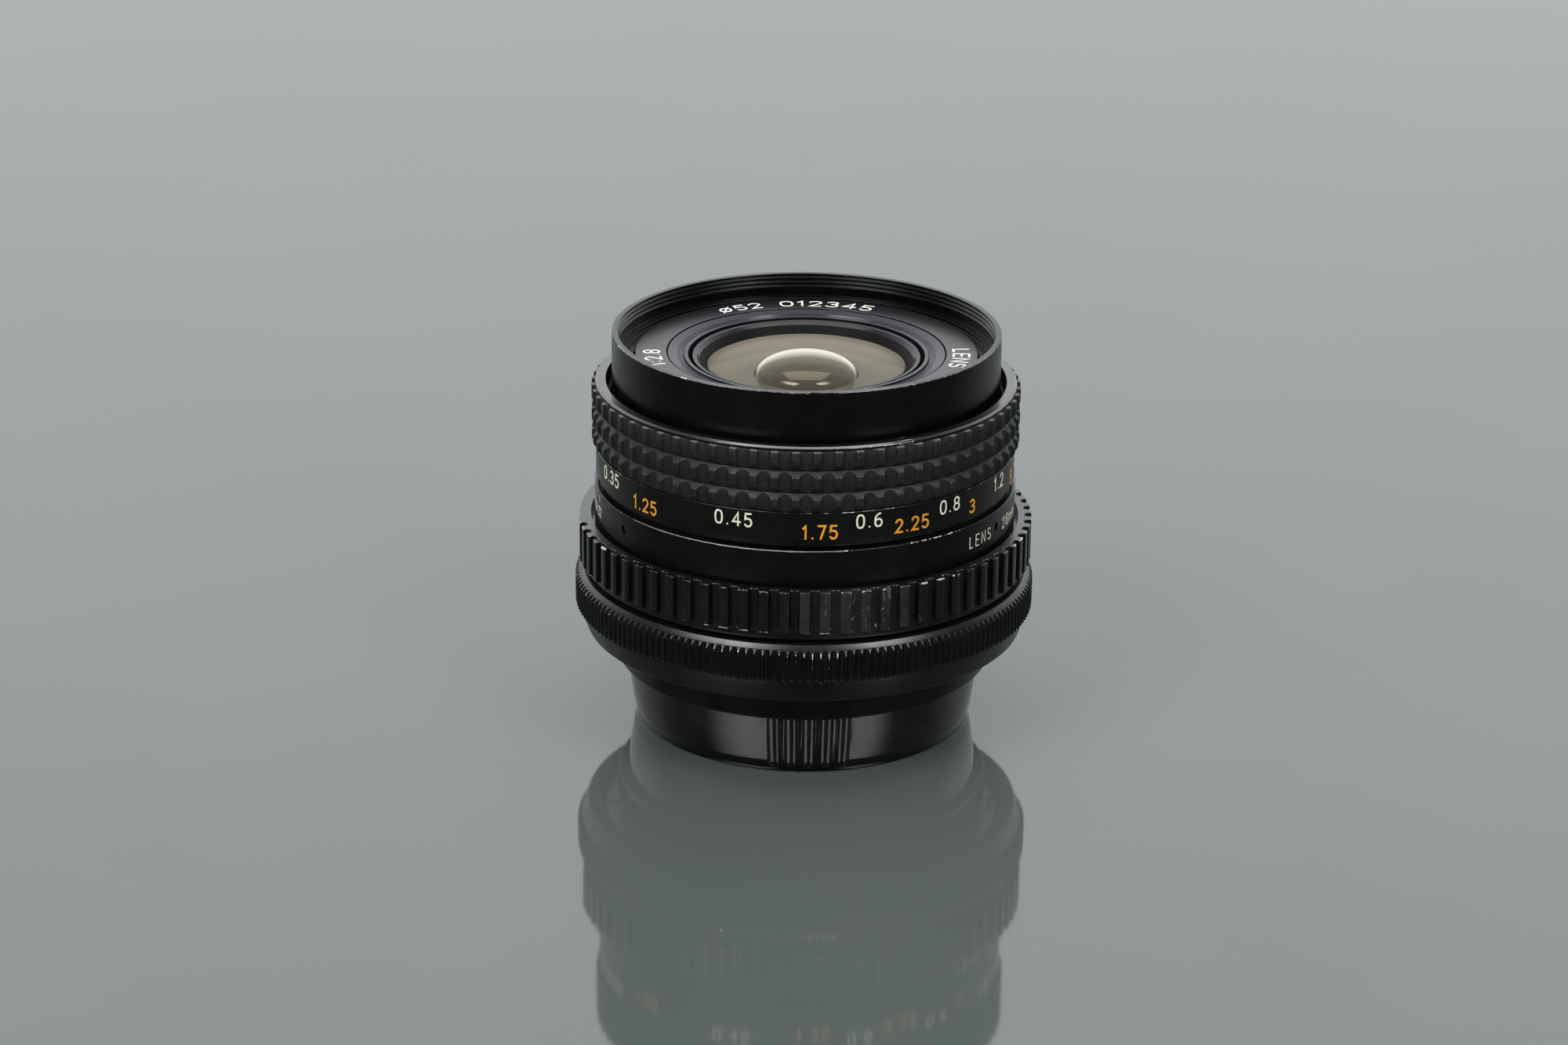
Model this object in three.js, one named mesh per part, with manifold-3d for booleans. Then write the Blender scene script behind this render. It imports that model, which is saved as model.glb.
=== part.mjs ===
// Wide-angle prime lens for a 35 mm still camera, standing on its rear cap.
// Units are millimetres. +Z runs from the rear cap to the front rim along the
// optical axis, and the origin is the centre of the cap's resting face.
// Rest state: focus ring at closest distance (optical block fully out),
// aperture ring at its widest number, rear cap fitted.
// "Front" is the +Z end and "rear" the cap end. Azimuths are in degrees from
// -Y, positive towards +X. Outlines are lists of [radius, z].
import * as THREE from 'three';
import { mergeVertices } from 'three/addons/utils/BufferGeometryUtils.js';
import Module from 'manifold-3d';

const wasm = await Module();
wasm.setup();

// ---------------------------------------------------------------- dimensions
const LENS_TOP = 56.5;            // front rim
const FILTER_THREAD_R = 26.0;     // bore of the filter thread
const FILTER_RIM_R = 27.0;        // outside of the front rim
const NAME_RING_Z = 53.4;         // face of the name ring

const FOCUS_FRONT_Z = 49.6;       // front face of the focus ring
const FOCUS_METAL_R = 29.3;       // front lip and scale skirt of the focus ring
const FOCUS_HOLE_R = 27.85;       // hole the front barrel slides through
const SKIRT_BOTTOM_Z = 35.5;
const GRIP_SEAT_R = 28.6;         // floor of the groove under the rubber grip
const GRIP_R = 29.85;             // outside of the rubber grip
const GRIP_TOP_Z = 49.0;
const GRIP_BOTTOM_Z = 40.4;
const GRIP_GAP = 0.05;            // groove beyond each end of the grip

const BARREL_R = 28.8;            // fixed barrel under the index and aperture rings
const BARREL_NECK_R = 28.3;       // fixed barrel inside the breech ring
const BARREL_BOTTOM_Z = 16.95;
const PLATE_TOP_Z = 16.85;        // front face of the mount plate
const INDEX_R = 29.5;             // fixed ring with the focus index
const INDEX_TOP_Z = 34.97;
const INDEX_BOTTOM_Z = 29.0;

const APERTURE_PAD_R = 31.93;     // aperture ring over the grip pads
const APERTURE_FLOOR_R = 31.0;    // aperture ring below the pads
const APERTURE_TOP_Z = 29.93;
const APERTURE_PAD_BOTTOM_Z = 24.0;
const APERTURE_BOTTOM_Z = 22.75;
const APERTURE_RECESS_R = 29.99;  // recess in the front of the aperture ring
const APERTURE_RECESS_Z = 28.6;

const BREECH_R = 32.32;           // breech-lock ring over the knurl
const BREECH_TOP_Z = 22.2;
const BREECH_KNURL_TOP_Z = 21.5;
const BREECH_KNURL_BOTTOM_Z = 17.16;
const BREECH_BOTTOM_R = 30.7;
const BREECH_BOTTOM_Z = 13.67;
const CAP_COLLAR_R = 26.4;        // rear cap collar inside the breech ring
const CAP_COLLAR_BOTTOM_Z = 8.95;

const PLAY = 0.3;                 // running clearance between turning rings
const FIT = 0.08;                 // clearance between pieces that stay together

const BLADES = 6;
const BLADE_T = 0.12;             // iris blade thickness
const BLADE_PITCH = 0.24;         // spacing of the blade planes
const BLADE_GAP = 0.25;           // space below and above the blade stack
const IRIS_Z = 31.0;              // lowest blade plane
const IRIS_OPEN_R = 6.6;

const N_OUT = 36;                 // facets round the large rings
const N_MID = 24;
const N_IN = 16;
const N_PIN = 10;                 // facets round pins and drilled holes
const N_SCREW = 8;                // facets round small screws
const WELD = 1e-4;                // distance within which vertices are merged

// ------------------------------------------------------------------ materials
const material = (settings) => new THREE.MeshStandardMaterial(settings);
const MATERIALS = {
  anodised: material({ color: 0x17181a, roughness: 0.42, metalness: 0.6 }),
  rubber: material({ color: 0x1e2022, roughness: 0.85, metalness: 0.0 }),
  cap: material({ color: 0x0b0c0e, roughness: 0.22, metalness: 0.0 }),
  steel: material({ color: 0x9a9da0, roughness: 0.3, metalness: 0.9 }),
  brass: material({ color: 0xb08a4a, roughness: 0.35, metalness: 0.9 }),
  flatBlack: material({ color: 0x101012, roughness: 0.85, metalness: 0.1 }),
  blade: material({ color: 0x1c1d20, roughness: 0.45, metalness: 0.6 }),
  glass: material({
    color: 0x8a8270, roughness: 0.05, metalness: 0.0, transparent: true, opacity: 0.55,
  }),
};

// --------------------------------------------------------------------- angles
const radians = (degrees) => (degrees * Math.PI) / 180;
// Turns an azimuth from -Y into an angle from +X.
const azimuthAngle = (azimuth) => radians(azimuth - 90);
const polar = (radius, angle) => [radius * Math.cos(angle), radius * Math.sin(angle)];
// Three azimuths a third of a turn apart.
const thirds = (first) => [first, first + 120, first + 240];

// -------------------------------------------------------------- closed meshes
// Negative when the triangles face inwards.
function signedVolume(positions, corners) {
  const [a, b, c] = [new THREE.Vector3(), new THREE.Vector3(), new THREE.Vector3()];
  let sum = 0;
  for (let i = 0; i < corners.length; i += 3) {
    a.fromBufferAttribute(positions, corners[i]);
    b.fromBufferAttribute(positions, corners[i + 1]);
    c.fromBufferAttribute(positions, corners[i + 2]);
    sum += a.dot(b.cross(c)) / 6;
  }
  return sum;
}

// Merges the shared vertices, drops empty triangles and turns the faces out.
function clean(geometry) {
  for (const name of Object.keys(geometry.attributes)) {
    if (name !== 'position') geometry.deleteAttribute(name);
  }
  const merged = mergeVertices(geometry, WELD);
  const corners = [];
  for (let i = 0; i < merged.index.count; i += 3) {
    const [a, b, c] = [0, 1, 2].map((k) => merged.index.getX(i + k));
    if (a !== b && b !== c && a !== c) corners.push(a, b, c);
  }
  if (signedVolume(merged.attributes.position, corners) < 0) {
    for (let i = 0; i < corners.length; i += 3) {
      [corners[i + 1], corners[i + 2]] = [corners[i + 2], corners[i + 1]];
    }
  }
  merged.setIndex(corners);
  return merged;
}

function toSolid(geometry) {
  return new wasm.Manifold(new wasm.Mesh({
    numProp: 3,
    vertProperties: new Float32Array(geometry.attributes.position.array),
    triVerts: new Uint32Array(geometry.index.array),
  }));
}

function fromSolid(solid) {
  const mesh = solid.getMesh();
  const geometry = new THREE.BufferGeometry();
  const positions = new Float32Array(mesh.vertProperties);
  geometry.setAttribute('position', new THREE.BufferAttribute(positions, 3));
  geometry.setIndex(new THREE.BufferAttribute(new Uint32Array(mesh.triVerts), 1));
  return geometry;
}

const cut = (body, ...tools) => fromSolid(
  tools.reduce((solid, tool) => solid.subtract(toSolid(tool)), toSolid(body)),
);
const join = (body, ...others) => fromSolid(
  others.reduce((solid, other) => solid.add(toSolid(other)), toSolid(body)),
);

// --------------------------------------------------------------------- shapes
// Solid of revolution about Z. An outline that doesn't start and end on the
// axis is closed back to its first point.
function turned(outline, facets) {
  const points = outline.map(([radius, z]) => new THREE.Vector2(radius, z));
  const onAxis = outline[0][0] === 0 && outline[outline.length - 1][0] === 0;
  if (!onAxis) points.push(points[0].clone());
  const geometry = new THREE.LatheGeometry(points, facets);
  geometry.rotateX(Math.PI / 2);
  return clean(geometry);
}

const sleeve = ({ inner, outer, bottom, top, facets }) => turned(
  [[inner, bottom], [outer, bottom], [outer, top], [inner, top]],
  facets,
);

// Flat plate from an XY outline, standing between two heights.
function plate(outline, bottom, top) {
  const shape = new THREE.Shape(outline.map(([x, y]) => new THREE.Vector2(x, y)));
  const geometry = new THREE.ExtrudeGeometry(shape, {
    depth: top - bottom,
    bevelEnabled: false,
  });
  geometry.translate(0, 0, bottom);
  return clean(geometry);
}

// Plate in the form of an annulus between two azimuths.
function arcPlate({ inner, outer, from, to, segments, bottom, top }) {
  const start = azimuthAngle(from);
  const sweep = azimuthAngle(to) - start;
  const arc = (radius) => Array.from(
    { length: segments + 1 },
    (_, i) => polar(radius, start + (sweep * i) / segments),
  );
  return plate([...arc(outer), ...arc(inner).reverse()], bottom, top);
}

// Moves a shape from the origin out to a radius and height, then round to an azimuth.
function placed(geometry, { radius, azimuth, z }) {
  geometry.translate(radius, 0, z);
  geometry.rotateZ(azimuthAngle(azimuth));
  return clean(geometry);
}

// Cylinder lying along the radius, between two distances from the axis.
function radialPin({ radius, from, to, azimuth, z, facets = N_PIN }) {
  const geometry = new THREE.CylinderGeometry(radius, radius, to - from, facets);
  geometry.rotateZ(Math.PI / 2);
  return placed(geometry, { radius: (from + to) / 2, azimuth, z });
}

// Cylinder standing along Z, at a distance from the axis.
function uprightPin({ radius, bottom, top, distance, azimuth }) {
  const geometry = new THREE.CylinderGeometry(radius, radius, top - bottom, N_PIN);
  geometry.rotateX(Math.PI / 2);
  const [x, y] = polar(distance, azimuthAngle(azimuth));
  geometry.translate(x, y, (bottom + top) / 2);
  return clean(geometry);
}

// Box squared up to the radius; size is [radial, tangential, height].
const radialBox = (size, place) => placed(new THREE.BoxGeometry(...size), place);

// ------------------------------------------------------------------- assembly
const root = new THREE.Group();
root.name = 'prime_lens';
const [cap, barrel, focus, optics, aperture, rear] = Array.from(
  { length: 6 },
  () => new THREE.Group(),
);
root.add(cap, barrel, focus, optics, aperture, rear);

function add(parent, name, geometry, finish) {
  const mesh = new THREE.Mesh(geometry, finish);
  mesh.name = name;
  parent.add(mesh);
}

// ------------------------------------------------------------------- rear cap
const RIB = {
  count: 5, width: 1.2, depth: 0.55, height: 7.2,
  offset: 0.28,                     // inward shift before the rib is tipped
  lean: Math.atan2(1.2, 7.4),       // tips the top towards the axis
  distance: 24.87, z: 4.75,
  firstAzimuth: -9, pitch: 5.75,    // degrees
};

function capRib(i) {
  const geometry = new THREE.BoxGeometry(RIB.width, RIB.depth, RIB.height);
  geometry.translate(0, RIB.offset, 0);
  geometry.rotateX(-RIB.lean);
  geometry.translate(0, -RIB.distance, RIB.z);
  geometry.rotateZ(radians(RIB.firstAzimuth + i * RIB.pitch));
  return clean(geometry);
}

// Moulded cup with a collar that plugs into the breech ring, ribs on the -Y side.
function rearCap() {
  const cup = turned([
    [0, 0], [23.0, 0], [23.44, 0.35], [24.08, 1.9], [25.1, CAP_COLLAR_BOTTOM_Z - 0.05],
    [CAP_COLLAR_R, CAP_COLLAR_BOTTOM_Z], [CAP_COLLAR_R, 14.6], [25.4, 14.6], [25.4, 10.4],
    [22.6, 10.4], [21.6, 1.7], [0, 1.7],
  ], N_OUT);
  return join(cup, ...Array.from({ length: RIB.count }, (_, i) => capRib(i)));
}
add(cap, 'rear_cap', rearCap(), MATERIALS.cap);

// --------------------------------------------------------------- fixed barrel
const DETENT = { azimuth: 120, z: 25.6 };
const DETENT_SPRING = { ...DETENT, radius: 28.2 };
const FOCUS_STOP = { azimuth: 150, z: 33.0, facets: N_SCREW };

// Stepped tube with a pocket and hole for the detent, and a hole for the stop screw.
function fixedBarrel() {
  const body = turned([
    [26.5, BARREL_BOTTOM_Z], [BARREL_NECK_R, BARREL_BOTTOM_Z], [BARREL_NECK_R, 22.45],
    [BARREL_R, 22.45], [BARREL_R, 34.6], [28.1, 34.6], [28.1, 31.0], [26.5, 31.0],
  ], N_OUT);
  return cut(
    body,
    radialBox([1.8, 6.0, 2.4], DETENT_SPRING),
    radialPin({ ...DETENT, radius: 0.75, from: 27.0, to: 31 }),
    radialPin({ ...FOCUS_STOP, radius: 0.72, from: 27.0, to: 31 }),
  );
}
add(barrel, 'fixed_barrel', fixedBarrel(), MATERIALS.anodised);

// Fixed index ring and its three radial screws.
const INDEX_SCREW_Z = 32.65;
const INDEX_SCREW_AZIMUTHS = thirds(-57.1);

function indexRing() {
  const body = sleeve({
    inner: BARREL_R + FIT, outer: INDEX_R,
    bottom: INDEX_BOTTOM_Z, top: INDEX_TOP_Z, facets: N_OUT,
  });
  const holes = INDEX_SCREW_AZIMUTHS.map((azimuth) => radialPin({
    radius: 0.62, from: 28.0, to: 31, azimuth, z: INDEX_SCREW_Z,
  }));
  return cut(body, ...holes);
}
add(barrel, 'index_ring', indexRing(), MATERIALS.anodised);

INDEX_SCREW_AZIMUTHS.forEach((azimuth, i) => {
  const screw = radialPin({
    radius: 0.5, from: BARREL_R + FIT, to: INDEX_R - 0.25,
    azimuth, z: INDEX_SCREW_Z, facets: N_SCREW,
  });
  add(barrel, `index_ring_screw_${i + 1}`, screw, MATERIALS.steel);
});

// Straight guide tube that keeps the optical block from turning: one key slot.
const KEY_AZIMUTH = 0;

function guideTube() {
  const tube = turned([
    [25.0, BARREL_BOTTOM_Z], [26.2, BARREL_BOTTOM_Z], [26.2, 18.4],
    [25.7, 18.4], [25.7, 43.0], [25.0, 43.0],
  ], N_MID);
  return cut(tube, radialBox([4, 2.6, 9.0], { radius: 25.4, azimuth: KEY_AZIMUTH, z: 39.0 }));
}
add(barrel, 'guide_tube', guideTube(), MATERIALS.anodised);

// Rear mount plate with two curved slots for the levers.
const MOUNT_SCREW_DISTANCE = 26.9;
const MOUNT_SCREW_AZIMUTHS = thirds(30);
const LOCATING_PIN = { distance: 27.45, azimuth: 90 };

function mountPlate() {
  const disc = sleeve({
    inner: 14.6, outer: BARREL_NECK_R, bottom: 15.3, top: PLATE_TOP_Z, facets: N_MID,
  });
  const through = { bottom: 14, top: 18 };
  const slot = { ...through, inner: 20.2, outer: 22.3 };
  const screwHoles = MOUNT_SCREW_AZIMUTHS.map((azimuth) => uprightPin({
    ...through, radius: 0.85, distance: MOUNT_SCREW_DISTANCE, azimuth,
  }));
  return cut(
    disc,
    arcPlate({ ...slot, from: 150, to: 205, segments: 10 }),
    arcPlate({ ...slot, from: -75, to: 15, segments: 12 }),
    ...screwHoles,
    uprightPin({ ...through, ...LOCATING_PIN, radius: 0.7 }),
  );
}
add(barrel, 'mount_plate', mountPlate(), MATERIALS.steel);

// Screws through the mount plate, heads below it.
MOUNT_SCREW_AZIMUTHS.forEach((azimuth, i) => {
  const screw = turned([
    [0, 14.9], [1.15, 14.9], [1.15, 15.25],
    [0.7, 15.25], [0.7, PLATE_TOP_Z], [0, PLATE_TOP_Z],
  ], 12);
  screw.translate(...polar(MOUNT_SCREW_DISTANCE, azimuthAngle(azimuth)), 0);
  add(barrel, `mount_screw_${i + 1}`, screw, MATERIALS.steel);
});

const locatingPin = uprightPin({ ...LOCATING_PIN, radius: 0.55, bottom: 13.9, top: PLATE_TOP_Z });
add(barrel, 'locating_pin', locatingPin, MATERIALS.steel);

// Leaf spring and ball that click the aperture ring at each number.
add(barrel, 'detent_spring', radialBox([0.25, 5.2, 1.1], DETENT_SPRING), MATERIALS.steel);
const detentBall = placed(new THREE.SphereGeometry(0.28, 10, 6), { ...DETENT, radius: 28.65 });
add(barrel, 'detent_ball', detentBall, MATERIALS.steel);

// Screw that stops the focus ring at each end of its turn.
const stopScrew = radialPin({ ...FOCUS_STOP, radius: 0.6, from: 28.0, to: 28.72 });
add(barrel, 'focus_stop_screw', stopScrew, MATERIALS.steel);

// ---------------------------------------------------------------- focus group
const FOCUS_SCREW_Z = 44.0;
const FOCUS_SCREW_AZIMUTHS = thirds(20);

// Ring with a scale skirt, a groove for the grip and a front lip.
function focusRing() {
  const grooveBottom = GRIP_BOTTOM_Z - GRIP_GAP;
  const grooveTop = GRIP_TOP_Z + GRIP_GAP;
  const body = turned([
    [FOCUS_HOLE_R, SKIRT_BOTTOM_Z], [28.9, SKIRT_BOTTOM_Z], [FOCUS_METAL_R, 36.3],
    [FOCUS_METAL_R, grooveBottom], [GRIP_SEAT_R, grooveBottom], [GRIP_SEAT_R, grooveTop],
    [FOCUS_METAL_R, grooveTop], [FOCUS_METAL_R, 49.35],
    [FOCUS_METAL_R - 0.25, FOCUS_FRONT_Z], [FOCUS_HOLE_R, FOCUS_FRONT_Z],
  ], N_OUT);
  const holes = FOCUS_SCREW_AZIMUTHS.map((azimuth) => radialPin({
    radius: 0.85, from: 27, to: 30, azimuth, z: FOCUS_SCREW_Z,
  }));
  return cut(body, ...holes);
}
add(focus, 'focus_ring', focusRing(), MATERIALS.anodised);

add(focus, 'rubber_grip', sleeve({
  inner: GRIP_SEAT_R + FIT, outer: GRIP_R,
  bottom: GRIP_BOTTOM_Z, top: GRIP_TOP_Z, facets: N_OUT,
}), MATERIALS.rubber);

add(focus, 'helicoid_nut', sleeve({
  inner: 27.28, outer: 27.78, bottom: 31.35, top: 47.6, facets: N_OUT,
}), MATERIALS.brass);

FOCUS_SCREW_AZIMUTHS.forEach((azimuth, i) => {
  const screw = radialPin({
    radius: 0.7, from: 27.86, to: 28.58, azimuth, z: FOCUS_SCREW_Z, facets: N_SCREW,
  });
  add(focus, `focus_ring_screw_${i + 1}`, screw, MATERIALS.steel);
});

// ----------------------------------------------- optical block: mounts and cells
add(optics, 'filter_ring', turned([
  [24.05, 51.3], [26.1, 50.6], [26.1, 48.2], [FILTER_RIM_R, 48.2], [FILTER_RIM_R, 56.25],
  [26.85, LENS_TOP], [26.15, LENS_TOP], [FILTER_THREAD_R, 56.3], [FILTER_THREAD_R, 53.2],
  [25.2, 53.1], [25.2, 52.7], [24.05, 52.7],
], N_OUT), MATERIALS.anodised);

add(optics, 'focus_barrel', sleeve({
  inner: 25.98, outer: 26.95, bottom: 34.2, top: 48.1, facets: N_OUT,
}), MATERIALS.brass);

add(optics, 'name_ring', turned([
  [19.4, 52.0], [23.9, 52.0], [23.9, 53.25],
  [23.75, NAME_RING_Z], [19.3, NAME_RING_Z], [19.3, 53.2],
], N_MID), MATERIALS.anodised);

add(optics, 'stepped_baffle', turned([
  [16.3, 50.9], [19.15, 50.9], [19.15, 53.3], [18.5, 53.3],
  [18.5, 52.85], [17.05, 52.7], [17.0, 53.0], [16.4, 53.0],
], N_MID), MATERIALS.flatBlack);

add(optics, 'front_retainer', turned([
  [13.9, 51.35], [16.1, 51.35], [16.1, 52.8], [14.1, 51.75], [13.75, 51.55],
], N_MID), MATERIALS.anodised);

add(optics, 'lens_carrier', turned([
  [18.3, 46.6], [25.7, 46.6], [25.7, 48.0], [23.9, 48.0],
  [23.9, 51.8], [22.9, 51.8], [22.9, 48.0], [18.3, 48.0],
], N_MID), MATERIALS.anodised);

add(optics, 'front_cell', turned([
  [12.2, 34.9], [15.6, 34.9], [15.6, 44.6], [18.1, 46.6], [18.1, 48.2],
  [19.6, 48.2], [19.6, 50.7], [16.1, 50.7], [15.9, 50.7], [15.9, 45.4],
  [13.9, 45.4], [13.9, 42.5], [12.2, 42.5],
], N_MID), MATERIALS.flatBlack);

add(optics, 'second_spacer', turned([
  [10.9, 41.2], [12.1, 41.2], [12.1, 42.5], [13.7, 42.5], [13.7, 43.0], [10.9, 43.0],
], N_IN), MATERIALS.flatBlack);

add(optics, 'rear_cell', turned([
  [9.3, 19.2], [12.9, 19.2], [12.9, 29.7], [9.9, 29.7], [9.9, 23.0], [9.3, 23.0],
], N_IN), MATERIALS.flatBlack);

// Plain rings between and behind the elements: inner and outer radius, bottom
// and top z.
const ELEMENT_RINGS = [
  ['front_spacer', 12.9, 15.6, 45.5, 48.2, MATERIALS.flatBlack],
  ['third_retainer', 10.4, 12.1, 35.2, 37.2, MATERIALS.flatBlack],
  ['rear_spacer', 8.4, 9.75, 26.1, 26.8, MATERIALS.flatBlack],
  ['rear_retainer', 8.2, 9.15, 18.2, 19.0, MATERIALS.anodised],
];
for (const [name, inner, outer, bottom, top, finish] of ELEMENT_RINGS) {
  add(optics, name, sleeve({ inner, outer, bottom, top, facets: N_IN }), finish);
}

// Key that runs in the slot of the guide tube.
const key = radialBox([0.74, 2.0, 2.2], { radius: 25.42, azimuth: KEY_AZIMUTH, z: 40.7 });
add(optics, 'helicoid_key', key, MATERIALS.steel);

// ------------------------------------------------------------- glass elements
// Rim radius, rear and front z of the rim, then how far each face bulges
// outwards at the axis; a negative bulge is a hollow.
const ELEMENTS = [
  ['lens_1', 15.6, 48.4, 50.95, -2.9, 1.5],
  ['lens_2', 12.6, 43.1, 45.3, -0.6, 0.8],
  ['lens_3', 12.0, 37.4, 41.1, 0.8, 0.0],
  ['lens_4', 9.75, 26.9, 29.0, -0.8, -0.3],
  ['lens_5', 9.75, 24.4, 25.9, -0.5, -0.2],
  ['lens_6', 9.1, 22.1, 23.9, 0.3, 0.0],
  ['lens_7', 9.1, 20.0, 21.4, 0.9, 0.25],
];
const FACE_STEPS = 3;

// Each face is a parabola drawn in steps from the axis to the rim.
function element(rim, rearZ, frontZ, rearBulge, frontBulge) {
  const face = (rimZ, bulge) => Array.from({ length: FACE_STEPS + 1 }, (_, i) => {
    const radius = (rim * i) / FACE_STEPS;
    return [radius, rimZ + bulge * (1 - (radius / rim) ** 2)];
  });
  return turned([...face(rearZ, -rearBulge), ...face(frontZ, frontBulge).reverse()], N_IN);
}
for (const [name, ...sizes] of ELEMENTS) {
  add(optics, name, element(...sizes), MATERIALS.glass);
}

// ----------------------------------------------------------------------- iris
const HOUSING_FLOOR_Z = IRIS_Z - BLADE_GAP;
const HOUSING_BOTTOM_Z = HOUSING_FLOOR_Z - 0.9;
const HOUSING_HOLE_R = 8.2;
const BLADE_TOP_Z = IRIS_Z + (BLADES - 1) * BLADE_PITCH + BLADE_T;

add(optics, 'iris_housing', turned([
  [HOUSING_HOLE_R, HOUSING_BOTTOM_Z], [24.3, HOUSING_BOTTOM_Z], [24.3, 34.7],
  [18.3, 34.7], [18.3, HOUSING_FLOOR_Z], [HOUSING_HOLE_R, HOUSING_FLOOR_Z],
], N_MID), MATERIALS.flatBlack);

add(optics, 'iris_cover', sleeve({
  inner: HOUSING_HOLE_R, outer: 17.0, bottom: 34.0, top: 34.75, facets: N_MID,
}), MATERIALS.flatBlack);

add(optics, 'iris_drive_ring', sleeve({
  inner: 13.3, outer: 17.9,
  bottom: BLADE_TOP_Z + BLADE_GAP, top: BLADE_TOP_Z + 1.1, facets: N_MID,
}), MATERIALS.anodised);

const BLADE = {
  span: radians(112), segments: 9,
  outerR: 12.4, taper: 1.7,                     // outer edge and its loss by the far end
  tabAngle: 0.11, tabInnerR: 10.3, tabOuterR: 11.9, // tab before the start, in radians
};

// Sickle round the open aperture, with a short tab at its wide end.
function irisBlade(i) {
  const start = radians((360 / BLADES) * i);
  const tab = [BLADE.tabInnerR, BLADE.tabOuterR].map((r) => polar(r, start - BLADE.tabAngle));
  const outerEdge = [];
  const innerEdge = [];
  for (let k = 0; k <= BLADE.segments; k++) {
    const along = k / BLADE.segments;
    const angle = start + BLADE.span * along;
    outerEdge.push(polar(BLADE.outerR - BLADE.taper * along * along, angle));
    innerEdge.push(polar(IRIS_OPEN_R, angle));
  }
  const z = IRIS_Z + i * BLADE_PITCH;
  return plate([...tab, ...outerEdge, ...innerEdge.reverse()], z, z + BLADE_T);
}
for (let i = 0; i < BLADES; i++) {
  add(optics, `iris_blade_${i + 1}`, irisBlade(i), MATERIALS.blade);
}

// -------------------------------------------------------------- aperture ring
add(aperture, 'aperture_ring', turned([
  [BARREL_R + PLAY, APERTURE_BOTTOM_Z], [APERTURE_FLOOR_R, APERTURE_BOTTOM_Z],
  [APERTURE_FLOOR_R, APERTURE_PAD_BOTTOM_Z], [APERTURE_PAD_R, APERTURE_PAD_BOTTOM_Z + 0.05],
  [APERTURE_PAD_R, APERTURE_TOP_Z - 0.1], [APERTURE_PAD_R - 0.1, APERTURE_TOP_Z],
  [APERTURE_RECESS_R, APERTURE_TOP_Z], [APERTURE_RECESS_R, APERTURE_RECESS_Z],
  [BARREL_R + PLAY, APERTURE_RECESS_Z],
], N_OUT), MATERIALS.anodised);

// ----------------------------------------------------------------- rear group
add(rear, 'breech_ring', turned([
  [BARREL_NECK_R + PLAY, 15.1], [28.9, 13.9], [29.1, BREECH_BOTTOM_Z],
  [BREECH_BOTTOM_R, BREECH_BOTTOM_Z], [BREECH_R - 0.05, BREECH_KNURL_BOTTOM_Z],
  [BREECH_R, BREECH_KNURL_BOTTOM_Z + 0.1], [BREECH_R, BREECH_KNURL_TOP_Z - 0.1],
  [BREECH_R - 0.4, 21.9], [31.3, BREECH_TOP_Z], [BARREL_NECK_R + PLAY, BREECH_TOP_Z],
], N_OUT), MATERIALS.anodised);

// Lever that reaches down through the mount plate: a finger under a wider foot.
function lever(azimuth) {
  const around = (halfWidth) => ({ from: azimuth - halfWidth, to: azimuth + halfWidth });
  const finger = arcPlate({
    ...around(2.6), inner: 20.7, outer: 21.8, segments: 3, bottom: 10.9, top: 17.7,
  });
  const foot = arcPlate({
    ...around(9), inner: 19.2, outer: 24.2, segments: 6, bottom: 17.3, top: 18.3,
  });
  return join(finger, foot);
}
add(rear, 'stop_down_lever', lever(157), MATERIALS.steel);
add(rear, 'signal_lever', lever(-66), MATERIALS.steel);

export default root;
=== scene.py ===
# Wide-angle prime lens standing on its rear cap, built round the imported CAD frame.
# The optical axis is +Z with the front glass on top. The camera looks from -Y, with +X to its right.
# Sizes are in millimetres until make_object turns them into metres. Shaders, lights and camera
# are in metres.
import bpy, bmesh, math
from mathutils import Vector, Matrix
from mathutils.geometry import delaunay_2d_cdt


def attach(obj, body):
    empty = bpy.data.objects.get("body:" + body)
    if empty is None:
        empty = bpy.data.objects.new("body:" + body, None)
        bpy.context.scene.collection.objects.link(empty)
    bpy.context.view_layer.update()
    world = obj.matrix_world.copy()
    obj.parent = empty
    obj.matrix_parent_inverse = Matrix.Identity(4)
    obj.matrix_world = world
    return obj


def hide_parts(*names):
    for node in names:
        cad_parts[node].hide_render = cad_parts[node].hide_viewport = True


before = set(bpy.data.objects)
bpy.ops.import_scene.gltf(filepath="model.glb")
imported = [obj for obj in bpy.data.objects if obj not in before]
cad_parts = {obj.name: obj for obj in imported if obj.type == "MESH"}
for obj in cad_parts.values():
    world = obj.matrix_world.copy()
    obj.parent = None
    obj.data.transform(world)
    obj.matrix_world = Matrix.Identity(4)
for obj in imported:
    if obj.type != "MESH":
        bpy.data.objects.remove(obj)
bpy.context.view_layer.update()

MM = 0.001
TAU = 2 * math.pi
rad = math.radians


def azimuth(degrees):
    """Angle about +Z of an azimuth counted from the front (-Y), positive towards +X."""
    return rad(degrees - 90.0)


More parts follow.
